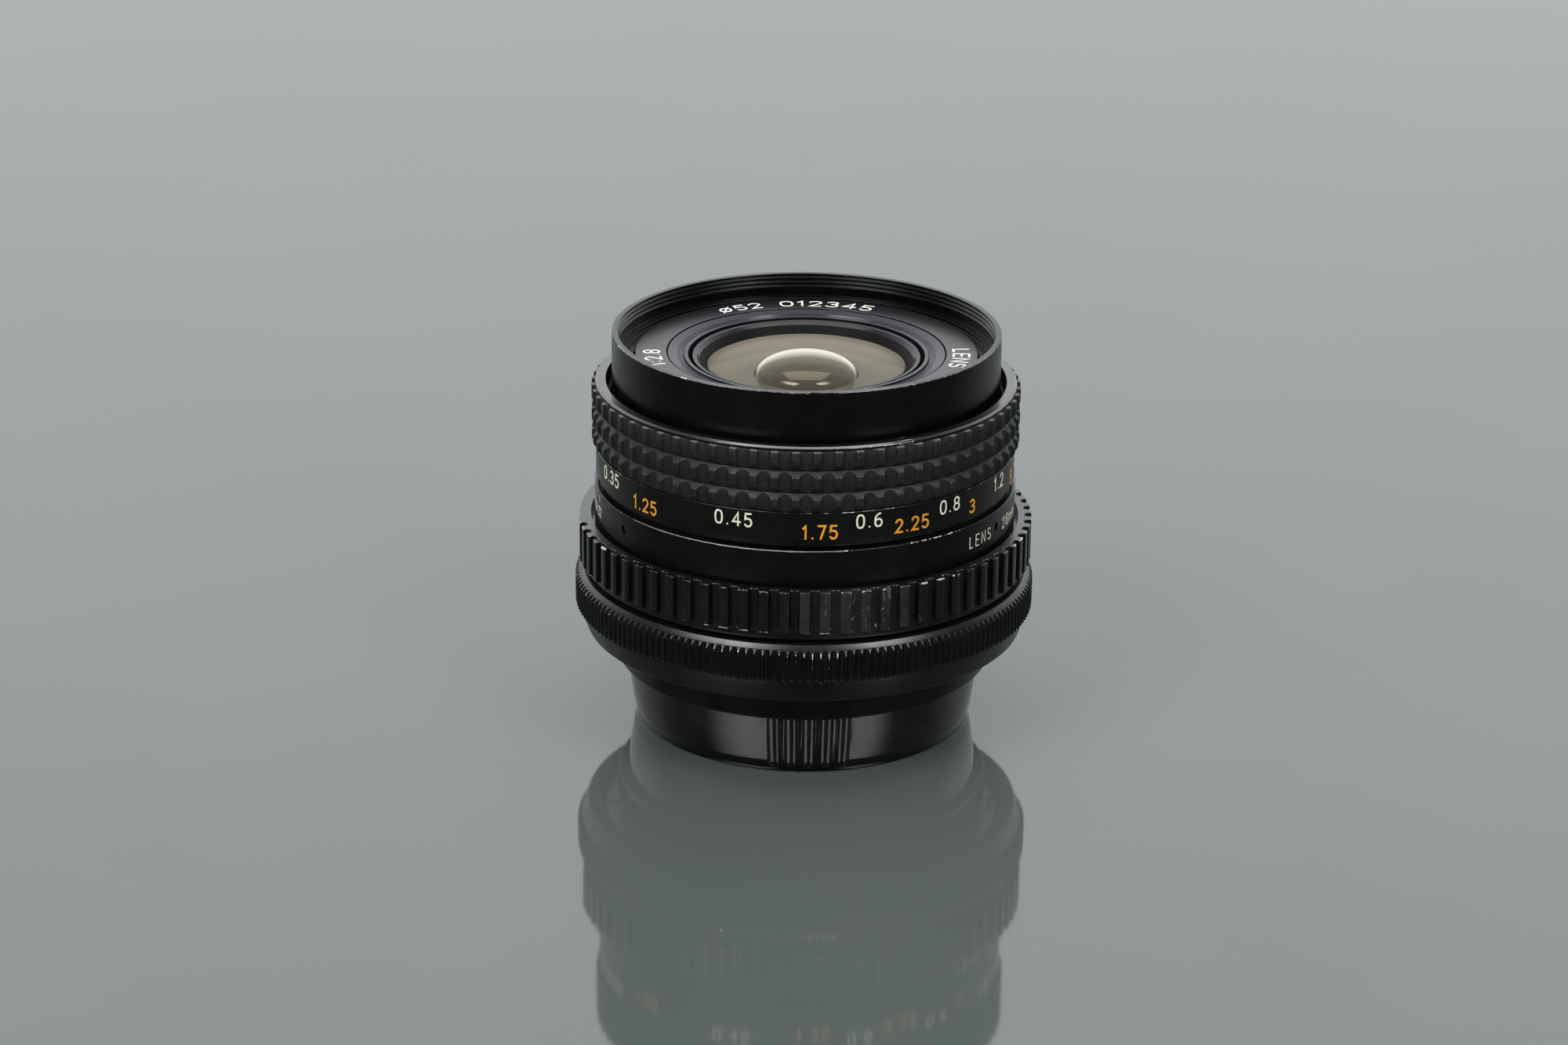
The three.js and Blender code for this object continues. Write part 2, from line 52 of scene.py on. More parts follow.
# ---------------------------------------------------------------- shader node helpers
class Nodes:
    """Writes nodes into a tree. A node input takes a socket, a value, or None to stay as it is."""

    def __init__(self, tree):
        self.tree = tree

    def node(self, kind, **settings):
        node = self.tree.nodes.new(kind)
        for key, value in settings.items():
            setattr(node, key, value)
        return node

    def put(self, socket, value):
        if isinstance(value, bpy.types.NodeSocket):
            self.tree.links.new(value, socket)
        elif value is not None:
            if socket.type == "RGBA" and len(value) == 3:
                value = (*value, 1.0)
            socket.default_value = value

    def fill(self, node, inputs):
        for key, value in inputs.items():
            self.put(node.inputs[key], value)
        return node

    def math(self, operation, first, second=None, clamp=False):
        node = self.node("ShaderNodeMath", operation=operation, use_clamp=clamp)
        return self.fill(node, {0: first, 1: second}).outputs[0]

    def mul(self, first, second):
        return self.math("MULTIPLY", first, second)

    def add(self, first, second):
        return self.math("ADD", first, second)

    def ramp(self, value, span, to=(0.0, 1.0), smooth=True):
        """Maps the span of value on to the range `to`, clamped at both ends."""
        node = self.node("ShaderNodeMapRange",
                         interpolation_type="SMOOTHSTEP" if smooth else "LINEAR")
        self.fill(node, {"Value": value, "From Min": span[0], "From Max": span[1],
                         "To Min": to[0], "To Max": to[1]})
        return node.outputs["Result"]

    def mix_color(self, factor, first, second):
        node = self.node("ShaderNodeMix", data_type="RGBA")
        return self.fill(node, {0: factor, 6: first, 7: second}).outputs[2]

    def mix_value(self, factor, first, second):
        node = self.node("ShaderNodeMix", data_type="FLOAT")
        return self.fill(node, {0: factor, 2: first, 3: second}).outputs[0]

    def split(self, vector):
        """The x, y and z of a vector socket."""
        return tuple(self.fill(self.node("ShaderNodeSeparateXYZ"), {0: vector}).outputs)


class Surface(Nodes):
    """A new material with object coordinates, patterns and shaders."""

    def __init__(self, name):
        self.material = bpy.data.materials.new(name)
        self.material.use_nodes = True
        super().__init__(self.material.node_tree)
        self.tree.nodes.clear()
        self.out = self.node("ShaderNodeOutputMaterial")
        self.coord = self.node("ShaderNodeTexCoord").outputs["Object"]

    # patterns
    def mapped(self, stretch=(1, 1, 1), shift=(0, 0, 0)):
        node = self.node("ShaderNodeMapping")
        self.fill(node, {"Vector": self.coord, "Scale": stretch, "Location": shift})
        return node.outputs[0]

    def noise(self, scale, detail=3.0, rough=0.55, shift=(0, 0, 0), stretch=(1, 1, 1), warp=0.0):
        moved = shift != (0, 0, 0) or stretch != (1, 1, 1)
        node = self.node("ShaderNodeTexNoise")
        self.fill(node, {"Vector": self.mapped(stretch, shift) if moved else self.coord,
                         "Scale": scale, "Detail": detail, "Roughness": rough,
                         "Distortion": warp})
        return node.outputs["Fac"]

    def specks(self, cell, radius, share, seed):
        """Round specks: a random share of the cells (mm) hold one of up to the radius (mm)."""
        node = self.node("ShaderNodeTexVoronoi")
        self.fill(node, {"Vector": self.mapped(shift=(seed, seed * 0.7, seed * 1.3)),
                         "Scale": 1000.0 / cell})
        random = self.fill(self.node("ShaderNodeSeparateColor"), {0: node.outputs["Color"]})
        pick = self.math("GREATER_THAN", random.outputs[0], 1.0 - share)
        size = self.mul(random.outputs[1], radius / cell)
        return self.mul(self.math("LESS_THAN", node.outputs["Distance"], size), pick)

    def dust(self, coarse, fine):
        """Two layers of specks, each given as (cell, radius, share, seed)."""
        return self.math("MAXIMUM", self.specks(*coarse), self.specks(*fine))

    def hairline(self, pattern, half_width):
        """Thin lines where a noise pattern passes through its middle value."""
        offset = self.math("ABSOLUTE", self.math("SUBTRACT", pattern, 0.5))
        return self.math("LESS_THAN", offset, half_width)

    def tone(self, pattern, span, low, high):
        """Colour running from low to high as the pattern crosses the span."""
        return self.mix_color(self.ramp(pattern, span), low, high)

    def vary(self, pattern, span, low, high):
        """Number running from low to high as the pattern crosses the span."""
        return self.mix_value(self.ramp(pattern, span), low, high)

    # geometry
    def wear(self):
        # per-point attribute: edge wear, and above 1.95 a painted highlight line
        node = self.node("ShaderNodeAttribute", attribute_type="GEOMETRY", attribute_name="wear")
        return node.outputs["Fac"]

    def xyz(self):
        return self.split(self.coord)

    def radius(self, x, y):
        return self.math("SQRT", self.add(self.mul(x, x), self.mul(y, y)))

    def geometry(self, output):
        return self.split(self.node("ShaderNodeNewGeometry").outputs[output])

    def facing(self, blend=0.5, normal=None):
        node = self.node("ShaderNodeLayerWeight")
        return self.fill(node, {"Blend": blend, "Normal": normal}).outputs["Facing"]

    def dished(self, slope):
        """Normal leaning towards the axis by slope per metre of radius, as a shallow bowl."""
        x, y, _ = self.xyz()
        lean = self.fill(self.node("ShaderNodeCombineXYZ"),
                         {0: self.mul(x, -slope), 1: self.mul(y, -slope), 2: 1.0})
        unit = self.node("ShaderNodeVectorMath", operation="NORMALIZE")
        return self.fill(unit, {0: lean.outputs[0]}).outputs[0]

    def bump(self, height, strength, distance, normal=None):
        node = self.node("ShaderNodeBump")
        return self.fill(node, {"Strength": strength, "Distance": distance, "Height": height,
                                "Normal": normal}).outputs[0]

    # shaders
    def shader(self, kind, **inputs):
        return self.fill(self.node("ShaderNodeBsdf" + kind), inputs).outputs[0]

    def layer(self, factor, below, above):
        node = self.node("ShaderNodeMixShader")
        return self.fill(node, {0: factor, 1: below, 2: above}).outputs[0]

    def show(self, shader):
        self.put(self.out.inputs[0], shader)
        return self.material

    def principled(self, color, rough, normal, spec=None, metal=None, ior=None):
        inputs = {"Base Color": color, "Roughness": rough, "Normal": normal, "IOR": ior,
                  "Specular IOR Level": spec, "Metallic": metal}
        return self.show(self.shader("Principled", **inputs))

    def show_dusty(self, shader, amount):
        specks = self.specks(cell=1.4, radius=0.040, share=0.20, seed=0.19)
        return self.show(self.layer(self.mul(specks, amount), shader,
                                    self.shader("Diffuse", Color=(0.45, 0.44, 0.42))))


def scaled(color, factor):
    return tuple(c * factor for c in color)


# -------------------------------------------------------------------------- materials
def add_rubbed_patch(n, color, rubbed_at):
    """Paler, hazy patch with fine scratches, centred on an azimuth of the outer surface."""
    x, y, _ = n.xyz()
    angle = azimuth(rubbed_at)
    along = n.add(n.mul(x, math.cos(angle)), n.mul(y, math.sin(angle)))
    cloud = n.noise(330, detail=4, rough=0.65, shift=(0.7, 0.3, 0.5))
    paling = n.mul(n.ramp(along, span=(0.0303, 0.0313)),
                 n.ramp(cloud, span=(0.30, 0.62), to=(0.35, 1.0)))
    color = n.mix_color(paling, color, (0.026, 0.027, 0.028))
    grain = n.noise(620, detail=1, rough=0.3, stretch=(1.0, 1.0, 0.30),
                    shift=(0.11, 0.53, 0.2), warp=0.7)
    spots = n.ramp(n.noise(700, detail=2, rough=0.5, shift=(0.9, 0.6, 0.1)), span=(0.52, 0.58))
    scratches = n.mul(n.mul(n.hairline(grain, half_width=0.0048), spots),
                      n.ramp(along, span=(0.0303, 0.0310)))
    return n.mix_color(n.mul(scratches, 0.8), color, (0.45, 0.45, 0.44))


def black_metal(name, base, rough, spec, top_spec, top_rough, grain_bump=0.32, turning=0.0,
                edge_wear=1.0, dust=0.5, painted_sheen=None, rubbed_at=None):
    """Satin black anodised aluminium: grain, smudges, dust, worn bright edges, painted edge
    highlights.

    top_spec and top_rough apply to upward faces, turning is the depth of circular tool marks,
    painted_sheen is a colour mixed into the base at grazing views, as painted sheen.
    """
    n = Surface(name)
    grain = n.noise(9000, detail=2, rough=0.6)
    smudge = n.noise(420, detail=4, rough=0.6, shift=(0.3, 0.1, 0.2))
    color = n.tone(n.noise(160), span=(0.3, 0.7), low=scaled(base, 0.85), high=scaled(base, 1.25))
    # painted sheen: the base colour pales towards this colour at grazing views
    if painted_sheen is not None:
        color = n.mix_color(n.mul(n.facing(), 0.8), color, painted_sheen)
    if rubbed_at is not None:
        color = add_rubbed_patch(n, color, rubbed_at)

    # Up to 1.95, wear sets how much of an edge is chipped.
    # Above that the edge carries a painted highlight: a steady thin pale line with few chips.
    wear = n.wear()
    fine = n.noise(6200, detail=2, rough=0.6, shift=(0.5, 0.2, 0.1))
    chips = n.add(n.mul(n.noise(1500, detail=4, rough=0.65, shift=(0.05, 0.02, 0.9)), 0.6),
                  n.mul(fine, 0.4))
    region = n.ramp(n.noise(70, detail=2, rough=0.5, shift=(0.8, 0.4, 0.3)),
                    span=(0.36, 0.66), to=(0.35, 1.0))
    highlight_from = 1.95
    chipped = n.math("MAXIMUM", n.mul(wear, n.math("LESS_THAN", wear, highlight_from)),
                     n.mul(n.math("GREATER_THAN", wear, highlight_from), 0.35))
    threshold = n.math("SUBTRACT", 0.74, n.mul(n.mul(chipped, region), 0.30 * edge_wear))
    bright = n.mul(n.ramp(chips, span=(threshold, n.add(threshold, 0.04))),
                   n.math("GREATER_THAN", wear, 0.05))
    # painted highlight: a pale line along edges whose wear value is above 1.9
    line = n.mul(n.ramp(wear, span=(1.9, 2.6)), n.ramp(fine, span=(0.30, 0.62), to=(0.60, 1.0)))

    specks = n.mul(n.dust(coarse=(1.6, 0.055, 0.22, 0.31), fine=(0.7, 0.03, 0.14, 0.77)), dust)
    color = n.mix_color(n.mul(specks, 0.55), color, (0.30, 0.30, 0.29))
    color = n.mix_color(n.mul(line, 0.8), color, (0.42, 0.42, 0.40))
    color = n.mix_color(bright, color, (0.84, 0.82, 0.78))

    height = grain
    if turning:
        x, y, _ = n.xyz()
        rings = n.node("ShaderNodeTexNoise", noise_dimensions="1D")
        n.fill(rings, {"W": n.mul(n.radius(x, y), 9000.0), "Detail": 1.0})
        height = n.add(n.mul(grain, 0.6), n.mul(rings.outputs["Fac"], turning))

    upward = n.ramp(n.geometry("Normal")[2], span=(0.25, 0.85))
    roughness = n.vary(smudge, span=(0.35, 0.7), low=rough - 0.05, high=rough + 0.07)
    roughness = n.mix_value(bright, roughness, 0.34)
    roughness = n.mix_value(n.mul(upward, n.math("SUBTRACT", 1.0, bright)), roughness, top_rough)
    normal = n.bump(height, strength=grain_bump, distance=0.000016)
    normal = n.bump(n.mul(bright, -1.0), strength=0.5, distance=0.00003, normal=normal)
    return n.principled(color, roughness, normal, spec=n.mix_value(upward, spec, top_spec),
                        metal=n.mul(bright, 0.45))


def rubber(name):
    """Moulded rubber: handled lands are clean, recesses hold pale dust; upward faces have painted
    light.
    """
    n = Surface(name)
    mottle = n.noise(900, detail=4, rough=0.65, shift=(0.2, 0.7, 0.1))
    grain = n.noise(5200, rough=0.7)
    x, y, _ = n.xyz()
    upward = n.ramp(n.geometry("Normal")[2], span=(0.15, 0.7))
    deep = n.math("SUBTRACT", 1.0, n.ramp(n.radius(x, y), span=(0.02925, 0.02975)))
    color = n.tone(n.noise(120, rough=0.6), span=(0.3, 0.7),
                   low=(0.0062, 0.0066, 0.0074), high=(0.0095, 0.0100, 0.0110))
    color = n.mix_color(n.mul(deep, n.ramp(mottle, span=(0.30, 0.68), to=(0.25, 1.0))),
                        color, (0.0150, 0.0156, 0.0165))
    # painted light: upward faces are paled as if lit from above
    color = n.mix_color(n.mul(upward, n.ramp(grain, span=(0.30, 0.66), to=(0.25, 1.0))),
                        color, (0.016, 0.0165, 0.0175))
    wear = n.wear()
    # painted highlight on the top row's land edges, which carry a wear value of 2
    painted_top_highlight = n.mul(n.ramp(wear, span=(1.4, 1.9)), n.ramp(grain, span=(0.25, 0.60), to=(0.45, 1.0)))
    color = n.mix_color(n.mul(painted_top_highlight, 0.9), color, (0.16, 0.16, 0.155))
    scuff = n.ramp(n.noise(2600, rough=0.6, shift=(0.1, 0.2, 0.6)), span=(0.44, 0.60))
    scuff = n.mul(n.math("MINIMUM", wear, 1.0), scuff)
    color = n.mix_color(n.mul(scuff, 0.5), color, (0.085, 0.087, 0.088))
    specks = n.dust(coarse=(1.1, 0.055, 0.45, 0.11), fine=(0.45, 0.034, 0.45, 0.57))
    color = n.mix_color(n.mul(specks, 0.75), color, (0.34, 0.34, 0.33))
    normal = n.bump(n.add(n.mul(grain, 0.6), n.mul(mottle, 0.5)), strength=0.6, distance=0.00004)
    return n.principled(color, n.vary(mottle, span=(0.3, 0.7), low=0.48, high=0.62), normal,
                        spec=n.mix_value(upward, 0.22, 0.38))


def cap_plastic(name):
    """Glossy black plastic with hairline scratches, which run mostly round the cap."""
    n = Surface(name)
    color = n.tone(n.noise(90, rough=0.5), span=(0.3, 0.7),
                   low=(0.0012, 0.0013, 0.0014), high=(0.0020, 0.0021, 0.0022))
    grain = n.noise(700, detail=5, rough=0.75, stretch=(1, 1, 9), shift=(0.3, 0.2, 0.4), warp=1.2)
    patches = n.ramp(n.noise(110, detail=2, rough=0.5, shift=(0.6, 0.1, 0.9)), span=(0.48, 0.6))
    hair = n.mul(n.hairline(grain, half_width=0.0035), patches)
    color = n.mix_color(n.mul(hair, 0.35), color, (0.09, 0.09, 0.09))
    specks = n.dust(coarse=(1.5, 0.05, 0.28, 0.41), fine=(0.6, 0.028, 0.16, 0.87))
    color = n.mix_color(n.mul(specks, 0.5), color, (0.28, 0.28, 0.27))
    scuff = n.ramp(n.noise(2200, rough=0.6, shift=(0.1, 0.2, 0.6)), span=(0.5, 0.6))
    scuff = n.mul(n.wear(), scuff)
    color = n.mix_color(n.mul(scuff, 0.5), color, (0.10, 0.10, 0.10))
    z = n.xyz()[2]
    lip = n.ramp(z, span=(0.0085, 0.0091))
    rough = n.vary(n.noise(300, detail=4, rough=0.6), span=(0.35, 0.7), low=0.09, high=0.16)
    rough = n.mix_value(n.math("MAXIMUM", hair, scuff), rough, 0.45)
    foot = n.ramp(z, span=(0.0004, 0.0026), to=(0.45, 1.0))
    normal = n.bump(n.noise(260, detail=2, rough=0.5), strength=0.25, distance=0.00006)
    normal = n.bump(n.mul(hair, -1.0), strength=0.3, distance=0.00001, normal=normal)
    return n.principled(color, rough, normal, spec=n.mul(n.mix_value(lip, 0.68, 0.30), foot))


def paint(name, color):
    """Engraving paint, thinned in small spots."""
    n = Surface(name)
    body = n.tone(n.noise(2600, rough=0.6), span=(0.35, 0.7), low=scaled(color, 0.86), high=color)
    missing = n.ramp(n.noise(5200, rough=0.7, shift=(0.2, 0.4, 0.7)),
                     span=(0.66, 0.74), to=(0, 0.6))
    normal = n.bump(n.noise(7000, detail=2, rough=0.6), strength=0.3, distance=0.00002)
    return n.principled(n.mix_color(missing, body, (0.03, 0.03, 0.03)), 0.55, normal, spec=0.35)


def drawn_lines(n):
    """Fine surface lines that run along the axis."""
    lines = n.noise(5200, detail=2, rough=0.6, stretch=(1, 1, 0.12))
    return n.bump(lines, strength=0.35, distance=0.000012)


def bare_metal(name, base, rough):
    n = Surface(name)
    cloud = n.noise(1800, detail=4, rough=0.65)
    color = n.tone(cloud, span=(0.3, 0.72), low=scaled(base, 0.72), high=base)
    tarnish = n.ramp(n.noise(420, rough=0.6, shift=(0.4, 0.2, 0.9)), span=(0.5, 0.72), to=(0, 0.5))
    color = n.mix_color(tarnish, color, scaled(base, 0.4))
    rough = n.vary(cloud, span=(0.3, 0.7), low=rough - 0.06, high=rough + 0.1)
    return n.principled(color, rough, drawn_lines(n), metal=1.0)


def black_brass(name):
    """Brass sleeve, blackened outside and at its front end; the bore stays bare."""
    n = Surface(name)
    x, y, z = n.xyz()
    black = n.math("MAXIMUM", n.ramp(n.radius(x, y), span=(0.02733, 0.02740)),
                   n.ramp(z, span=(0.0385, 0.0390)))
    cloud = n.noise(1800, detail=4, rough=0.65)
    span = (0.3, 0.72)
    bare = n.tone(cloud, span, low=(0.38, 0.26, 0.10), high=(0.58, 0.42, 0.18))
    coat = n.tone(cloud, span, low=(0.006, 0.006, 0.006), high=(0.012, 0.011, 0.010))
    return n.principled(n.mix_color(black, bare, coat), n.mix_value(black, 0.34, 0.6),
                        drawn_lines(n), metal=n.math("SUBTRACT", 1.0, black), spec=0.3)


def flat_black(name, base, rough, spec):
    n = Surface(name)
    grain = n.noise(4200, rough=0.7)
    color = n.tone(grain, span=(0.3, 0.7), low=base, high=scaled(base, 2.0))
    specks = n.specks(cell=1.1, radius=0.04, share=0.2, seed=0.21)
    color = n.mix_color(n.mul(specks, 0.5), color, (0.25, 0.25, 0.25))
    return n.principled(color, rough, n.bump(grain, strength=0.5, distance=0.00002), spec=spec)


def deep_glass(name):
    """Coated glass inside the barrel: a tinted reflection that grows towards grazing angles."""
    n = Surface(name)
    factor = n.math("ADD", 0.08, n.mul(n.facing(blend=0.30), 0.30), clamp=True)
    glass = n.layer(factor, n.shader("Transparent", Color=(0.80, 0.79, 0.74)),
                    n.shader("Glossy", Color=(0.80, 0.78, 0.66), Roughness=0.01))
    return n.show_dusty(glass, amount=0.4)


def front_glass(name):
    """Outer face of the front element: clear, with an amber-brown coating at grazing angles."""
    n = Surface(name)
    facing = n.facing()
    smear = n.noise(240, rough=0.6, shift=(0.1, 0.8, 0.2))
    factor = n.add(n.ramp(facing, span=(0.20, 0.66), to=(0.02, 0.105), smooth=False),
                   n.ramp(facing, span=(0.66, 1.0), to=(0.0, 0.14), smooth=False))
    factor = n.mul(factor, n.ramp(smear, span=(0.2, 0.8), to=(0.93, 1.06)))
    coating = n.shader("Glossy", Color=(1.0, 0.88, 0.68), Roughness=0.05, Normal=n.dished(5.2))
    glass = n.layer(factor, n.shader("Transparent", Color=(0.93, 0.92, 0.88)), coating)
    return n.show_dusty(glass, amount=0.8)


def annulus_glass(name):
    """Rear face round the hollow: black behind, with a mirror sheen and a painted sheen that grow
    outwards.
    """
    n = Surface(name)
    x, y, _ = n.xyz()
    radius = n.radius(x, y)
    bowl = n.dished(9.0)
    pale = (1.0, 0.97, 0.89)
    seen = n.ramp(n.facing(normal=bowl), span=(0.15, 0.68), to=(0.12, 1.0), smooth=False)
    shine = n.mul(seen, n.ramp(radius, span=(0.0070, 0.0108), to=(0.15, 0.055)))
    # painted sheen: the diffuse backing pales with view angle, radius and towards the far side
    far_side = n.ramp(n.xyz()[1], span=(-0.002, 0.0125), to=(1.0, 2.05))
    paling = n.mul(seen, n.mul(n.ramp(radius, span=(0.0066, 0.0108), to=(0.0, 0.090)), far_side))
    backing = n.shader("Diffuse", Color=n.mix_color(paling, (0.005, 0.0048, 0.0045), pale),
                       Normal=bowl)
    mirror = n.shader("Glossy", Color=pale, Roughness=0.02, Normal=bowl)
    return n.show(n.layer(shine, backing, mirror))


def hollow_glass(name):
    """Hollow of the rear face, seen as a dome: a bright grazing crescent and fine rings."""
    n = Surface(name)
    x, y, z = n.xyz()
    radius = n.radius(x, y)
    facing = n.facing()
    crescent = n.mul(n.ramp(facing, span=(0.62, 0.775), smooth=False),
                     n.ramp(z, span=(0.0502, 0.0515), to=(0.12, 1.0)))
    ring_pitch = 0.00052
    rings = n.mul(n.math("SINE", n.mul(radius, TAU / ring_pitch)),
                  n.ramp(radius, span=(0.0050, 0.0060), to=(0.045, 0.0)))
    rings = n.mul(rings, n.ramp(radius, span=(0.0010, 0.0022)))
    glow = n.mul(n.ramp(facing, span=(0.42, 0.68), to=(0.0, 0.15)),
                 n.ramp(z, span=(0.0500, 0.0512), to=(0.12, 1.0)))
    glow = n.add(glow, n.math("MAXIMUM", rings, 0.0))
    glass = n.layer(0.055, n.shader("Transparent", Color=(0.78, 0.75, 0.66)),
                    n.shader("Glossy", Color=(1.0, 0.93, 0.74), Roughness=0.012))
    for factor, color in ((n.math("MINIMUM", glow, 1.0), (1.0, 0.94, 0.78)),
                          (crescent, (1.0, 1.0, 0.98))):
        mirror = n.shader("Glossy", Color=color, Roughness=0.08, Normal=n.dished(5.2))
        glass = n.layer(factor, glass, mirror)
    return n.show(glass)


MAT = {
    "satin": black_metal("satin_black", base=(0.0028, 0.0030, 0.0032), rough=0.30, spec=0.18,
                         top_spec=0.8, top_rough=0.26, grain_bump=0.15),
    "wall": black_metal("front_wall_black", base=(0.0024, 0.0024, 0.0025), rough=0.28,
                        spec=0.18, top_spec=0.55, top_rough=0.26, grain_bump=0.12),
    "face": black_metal("turned_face_black", base=(0.0036, 0.0038, 0.0041), rough=0.32,
                        spec=0.20, top_spec=2.2, top_rough=0.20, grain_bump=0.15, turning=0.4),
    "name": black_metal("name_ring_black", base=(0.0046, 0.0052, 0.0066), rough=0.24,
                        spec=0.5, top_spec=0.95, top_rough=0.27, grain_bump=0.08, turning=0.15,
                        painted_sheen=(0.009, 0.010, 0.013)),
    "retain": black_metal("retainer_black", base=(0.0034, 0.0035, 0.0036), rough=0.24,
                          spec=0.12, top_spec=0.37, top_rough=0.20, grain_bump=0.08,
                          turning=0.15),
    "ring": black_metal("aperture_black", base=(0.0044, 0.0046, 0.0050), rough=0.30, spec=0.30,
                        top_spec=1.25, top_rough=0.22, edge_wear=1.2, rubbed_at=12.0),
    "knurl": black_metal("breech_black", base=(0.0046, 0.0048, 0.0051), rough=0.32, spec=0.26,
                         top_spec=0.9, top_rough=0.30, edge_wear=1.15),
    "band": black_metal("baffle_band_black", base=(0.0050, 0.0060, 0.0095), rough=0.20,
                        spec=0.50, top_spec=0.47, top_rough=0.20, grain_bump=0.08, dust=0.15,
                        painted_sheen=(0.011, 0.014, 0.025)),
    "rubber": rubber("grip_rubber"),
    "cap": cap_plastic("cap_plastic"),
    "white": paint("engraving_cream", (0.98, 0.97, 0.78)),
    "silver": paint("engraving_white", (0.96, 0.96, 0.88)),
    "orange": paint("engraving_orange", (1.0, 0.42, 0.025)),
    "red": paint("mark_red", (0.55, 0.02, 0.015)),
    "steel": bare_metal("steel", (0.56, 0.56, 0.57), rough=0.32),
    "screw": bare_metal("blackened_screw", (0.10, 0.10, 0.105), rough=0.38),
    "brass": bare_metal("brass", (0.60, 0.43, 0.18), rough=0.34),
    "brass_dark": black_brass("blackened_brass"),
    "aluminium": bare_metal("aluminium", (0.66, 0.66, 0.67), rough=0.36),
    "flat": flat_black("flat_black", base=(0.009, 0.009, 0.010), rough=0.72, spec=0.4),
    "seat": flat_black("lens_edge_ink", base=(0.0030, 0.0029, 0.0029), rough=0.5, spec=0.10),
    "blade": bare_metal("iris_blade_steel", (0.10, 0.10, 0.115), rough=0.34),
    "glass": front_glass("front_glass"),
    "glass_in": hollow_glass("hollow_glass"),
    "glass_flat": annulus_glass("annulus_glass"),
    "glass_deep": deep_glass("deep_glass"),
}


# ----------------------------------------------------------------------- mesh helpers
def make_object(name, verts, faces, materials, body, wear=None, face_mat=None, sharp=32.0,
                smooth=True):
    """Mesh object from millimetre points; it rides on the named body of the frame, if any."""
    mesh = bpy.data.meshes.new(name)
    mesh.from_pydata([(x * MM, y * MM, z * MM) for x, y, z in verts], [], faces)
    for material in materials if isinstance(materials, list) else [materials]:
        mesh.materials.append(material)
    if face_mat is not None:
        mesh.polygons.foreach_set("material_index", face_mat)
    if wear is not None:
        mesh.attributes.new("wear", "FLOAT", "POINT").data.foreach_set("value", wear)
    work = bmesh.new()
    work.from_mesh(mesh)
    bmesh.ops.recalc_face_normals(work, faces=work.faces)
    work.to_mesh(mesh)
    work.free()
    if smooth:
        mesh.shade_smooth()
        mesh.set_sharp_from_angle(angle=rad(sharp))
    mesh.update()
    obj = bpy.data.objects.new(name, mesh)
    bpy.context.scene.collection.objects.link(obj)
    if body:
        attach(obj, body)
    return obj


def round_corner(corner, before, after, fillet, wear, steps):
    """Arc points for one corner, with unworn guard points beside a worn one; None if straight."""
    to_before, to_after = before - corner, after - corner
    len_before, len_after = to_before.length, to_after.length
    if min(len_before, len_after) < 1e-6:
        return None
    to_before /= len_before
    to_after /= len_after
    angle = math.acos(max(-1.0, min(1.0, to_before.dot(to_after))))
    if angle > math.pi - 0.02 or angle < 0.02:
        return None
    trim = min(fillet / math.tan(angle / 2), 0.42 * len_before, 0.42 * len_after)
    radius = trim * math.tan(angle / 2)
    centre = corner + (to_before + to_after).normalized() * (radius / math.sin(angle / 2))
    first, last = (corner + way * trim - centre for way in (to_before, to_after))
    start = math.atan2(first.y, first.x)
    sweep = (math.atan2(last.y, last.x) - start + math.pi) % TAU - math.pi
    points = []
    for j in range(steps + 1):
        turn = start + sweep * j / steps
        points.append((centre.x + radius * math.cos(turn),
                       centre.y + radius * math.sin(turn), wear))
    if wear > 0:
        guards = [corner + way * min(trim * 2.0, 0.47 * length)
                  for way, length in ((to_before, len_before), (to_after, len_after))]
        points = [(*guards[0], 0.0)] + points + [(*guards[1], 0.0)]
    return points


def soften(outline, steps=3):
    """Rounds the corners of a closed outline and returns (radius, height, wear) points.

    Outline rows everywhere below are: radius, height, then optionally fillet and wear.
    """
    result = []
    for i, row in enumerate(outline):
        radius, height, fillet, wear = (*row, 0.0, 0.0)[:4]
        points = None
        if fillet > 0 and radius >= 1e-6:
            after = outline[(i + 1) % len(outline)]
            points = round_corner(Vector(row[:2]), Vector(outline[i - 1][:2]), Vector(after[:2]),
                                  fillet, wear, steps)
        result += points or [(radius, height, wear)]
    return result


def sweep_sections(name, sections, materials, body, closed=True, sharp=32.0, face_mat=None):
    """Joins sections (angle, [(radius, height, wear), ...]), all of one length, round the axis."""
    rows = len(sections[0][1])
    verts, wear, index = [], [], {}
    for i in range(rows):
        on_axis = all(section[1][i][0] < 1e-6 for section in sections)
        for j, (theta, profile) in enumerate(sections):
            radius, height, worn = profile[i]
            if on_axis and j:
                index[j, i] = index[0, i]
                continue
            index[j, i] = len(verts)
            verts.append((radius * math.cos(theta), radius * math.sin(theta), height))
            wear.append(worn)
    faces, face_materials = [], []
    for j in range(len(sections)):
        j2 = (j + 1) % len(sections)
        for i in range(rows if closed else rows - 1):
            i2 = (i + 1) % rows
            # a corner shared on the axis turns the quad into a triangle
            face = list(dict.fromkeys((index[j, i], index[j2, i], index[j2, i2], index[j, i2])))
            if len(face) >= 3:
                faces.append(face)
                face_materials.append(face_mat[i] if face_mat else 0)
    return make_object(name, verts, faces, materials, body, wear=wear,
                       face_mat=face_materials if face_mat else None, sharp=sharp)


def even_sections(profile, count):
    return [(TAU * j / count, profile) for j in range(count)]


def turned(name, outline, material, body, count=160, steps=3):
    return sweep_sections(name, even_sections(soften(outline, steps), count), material, body)


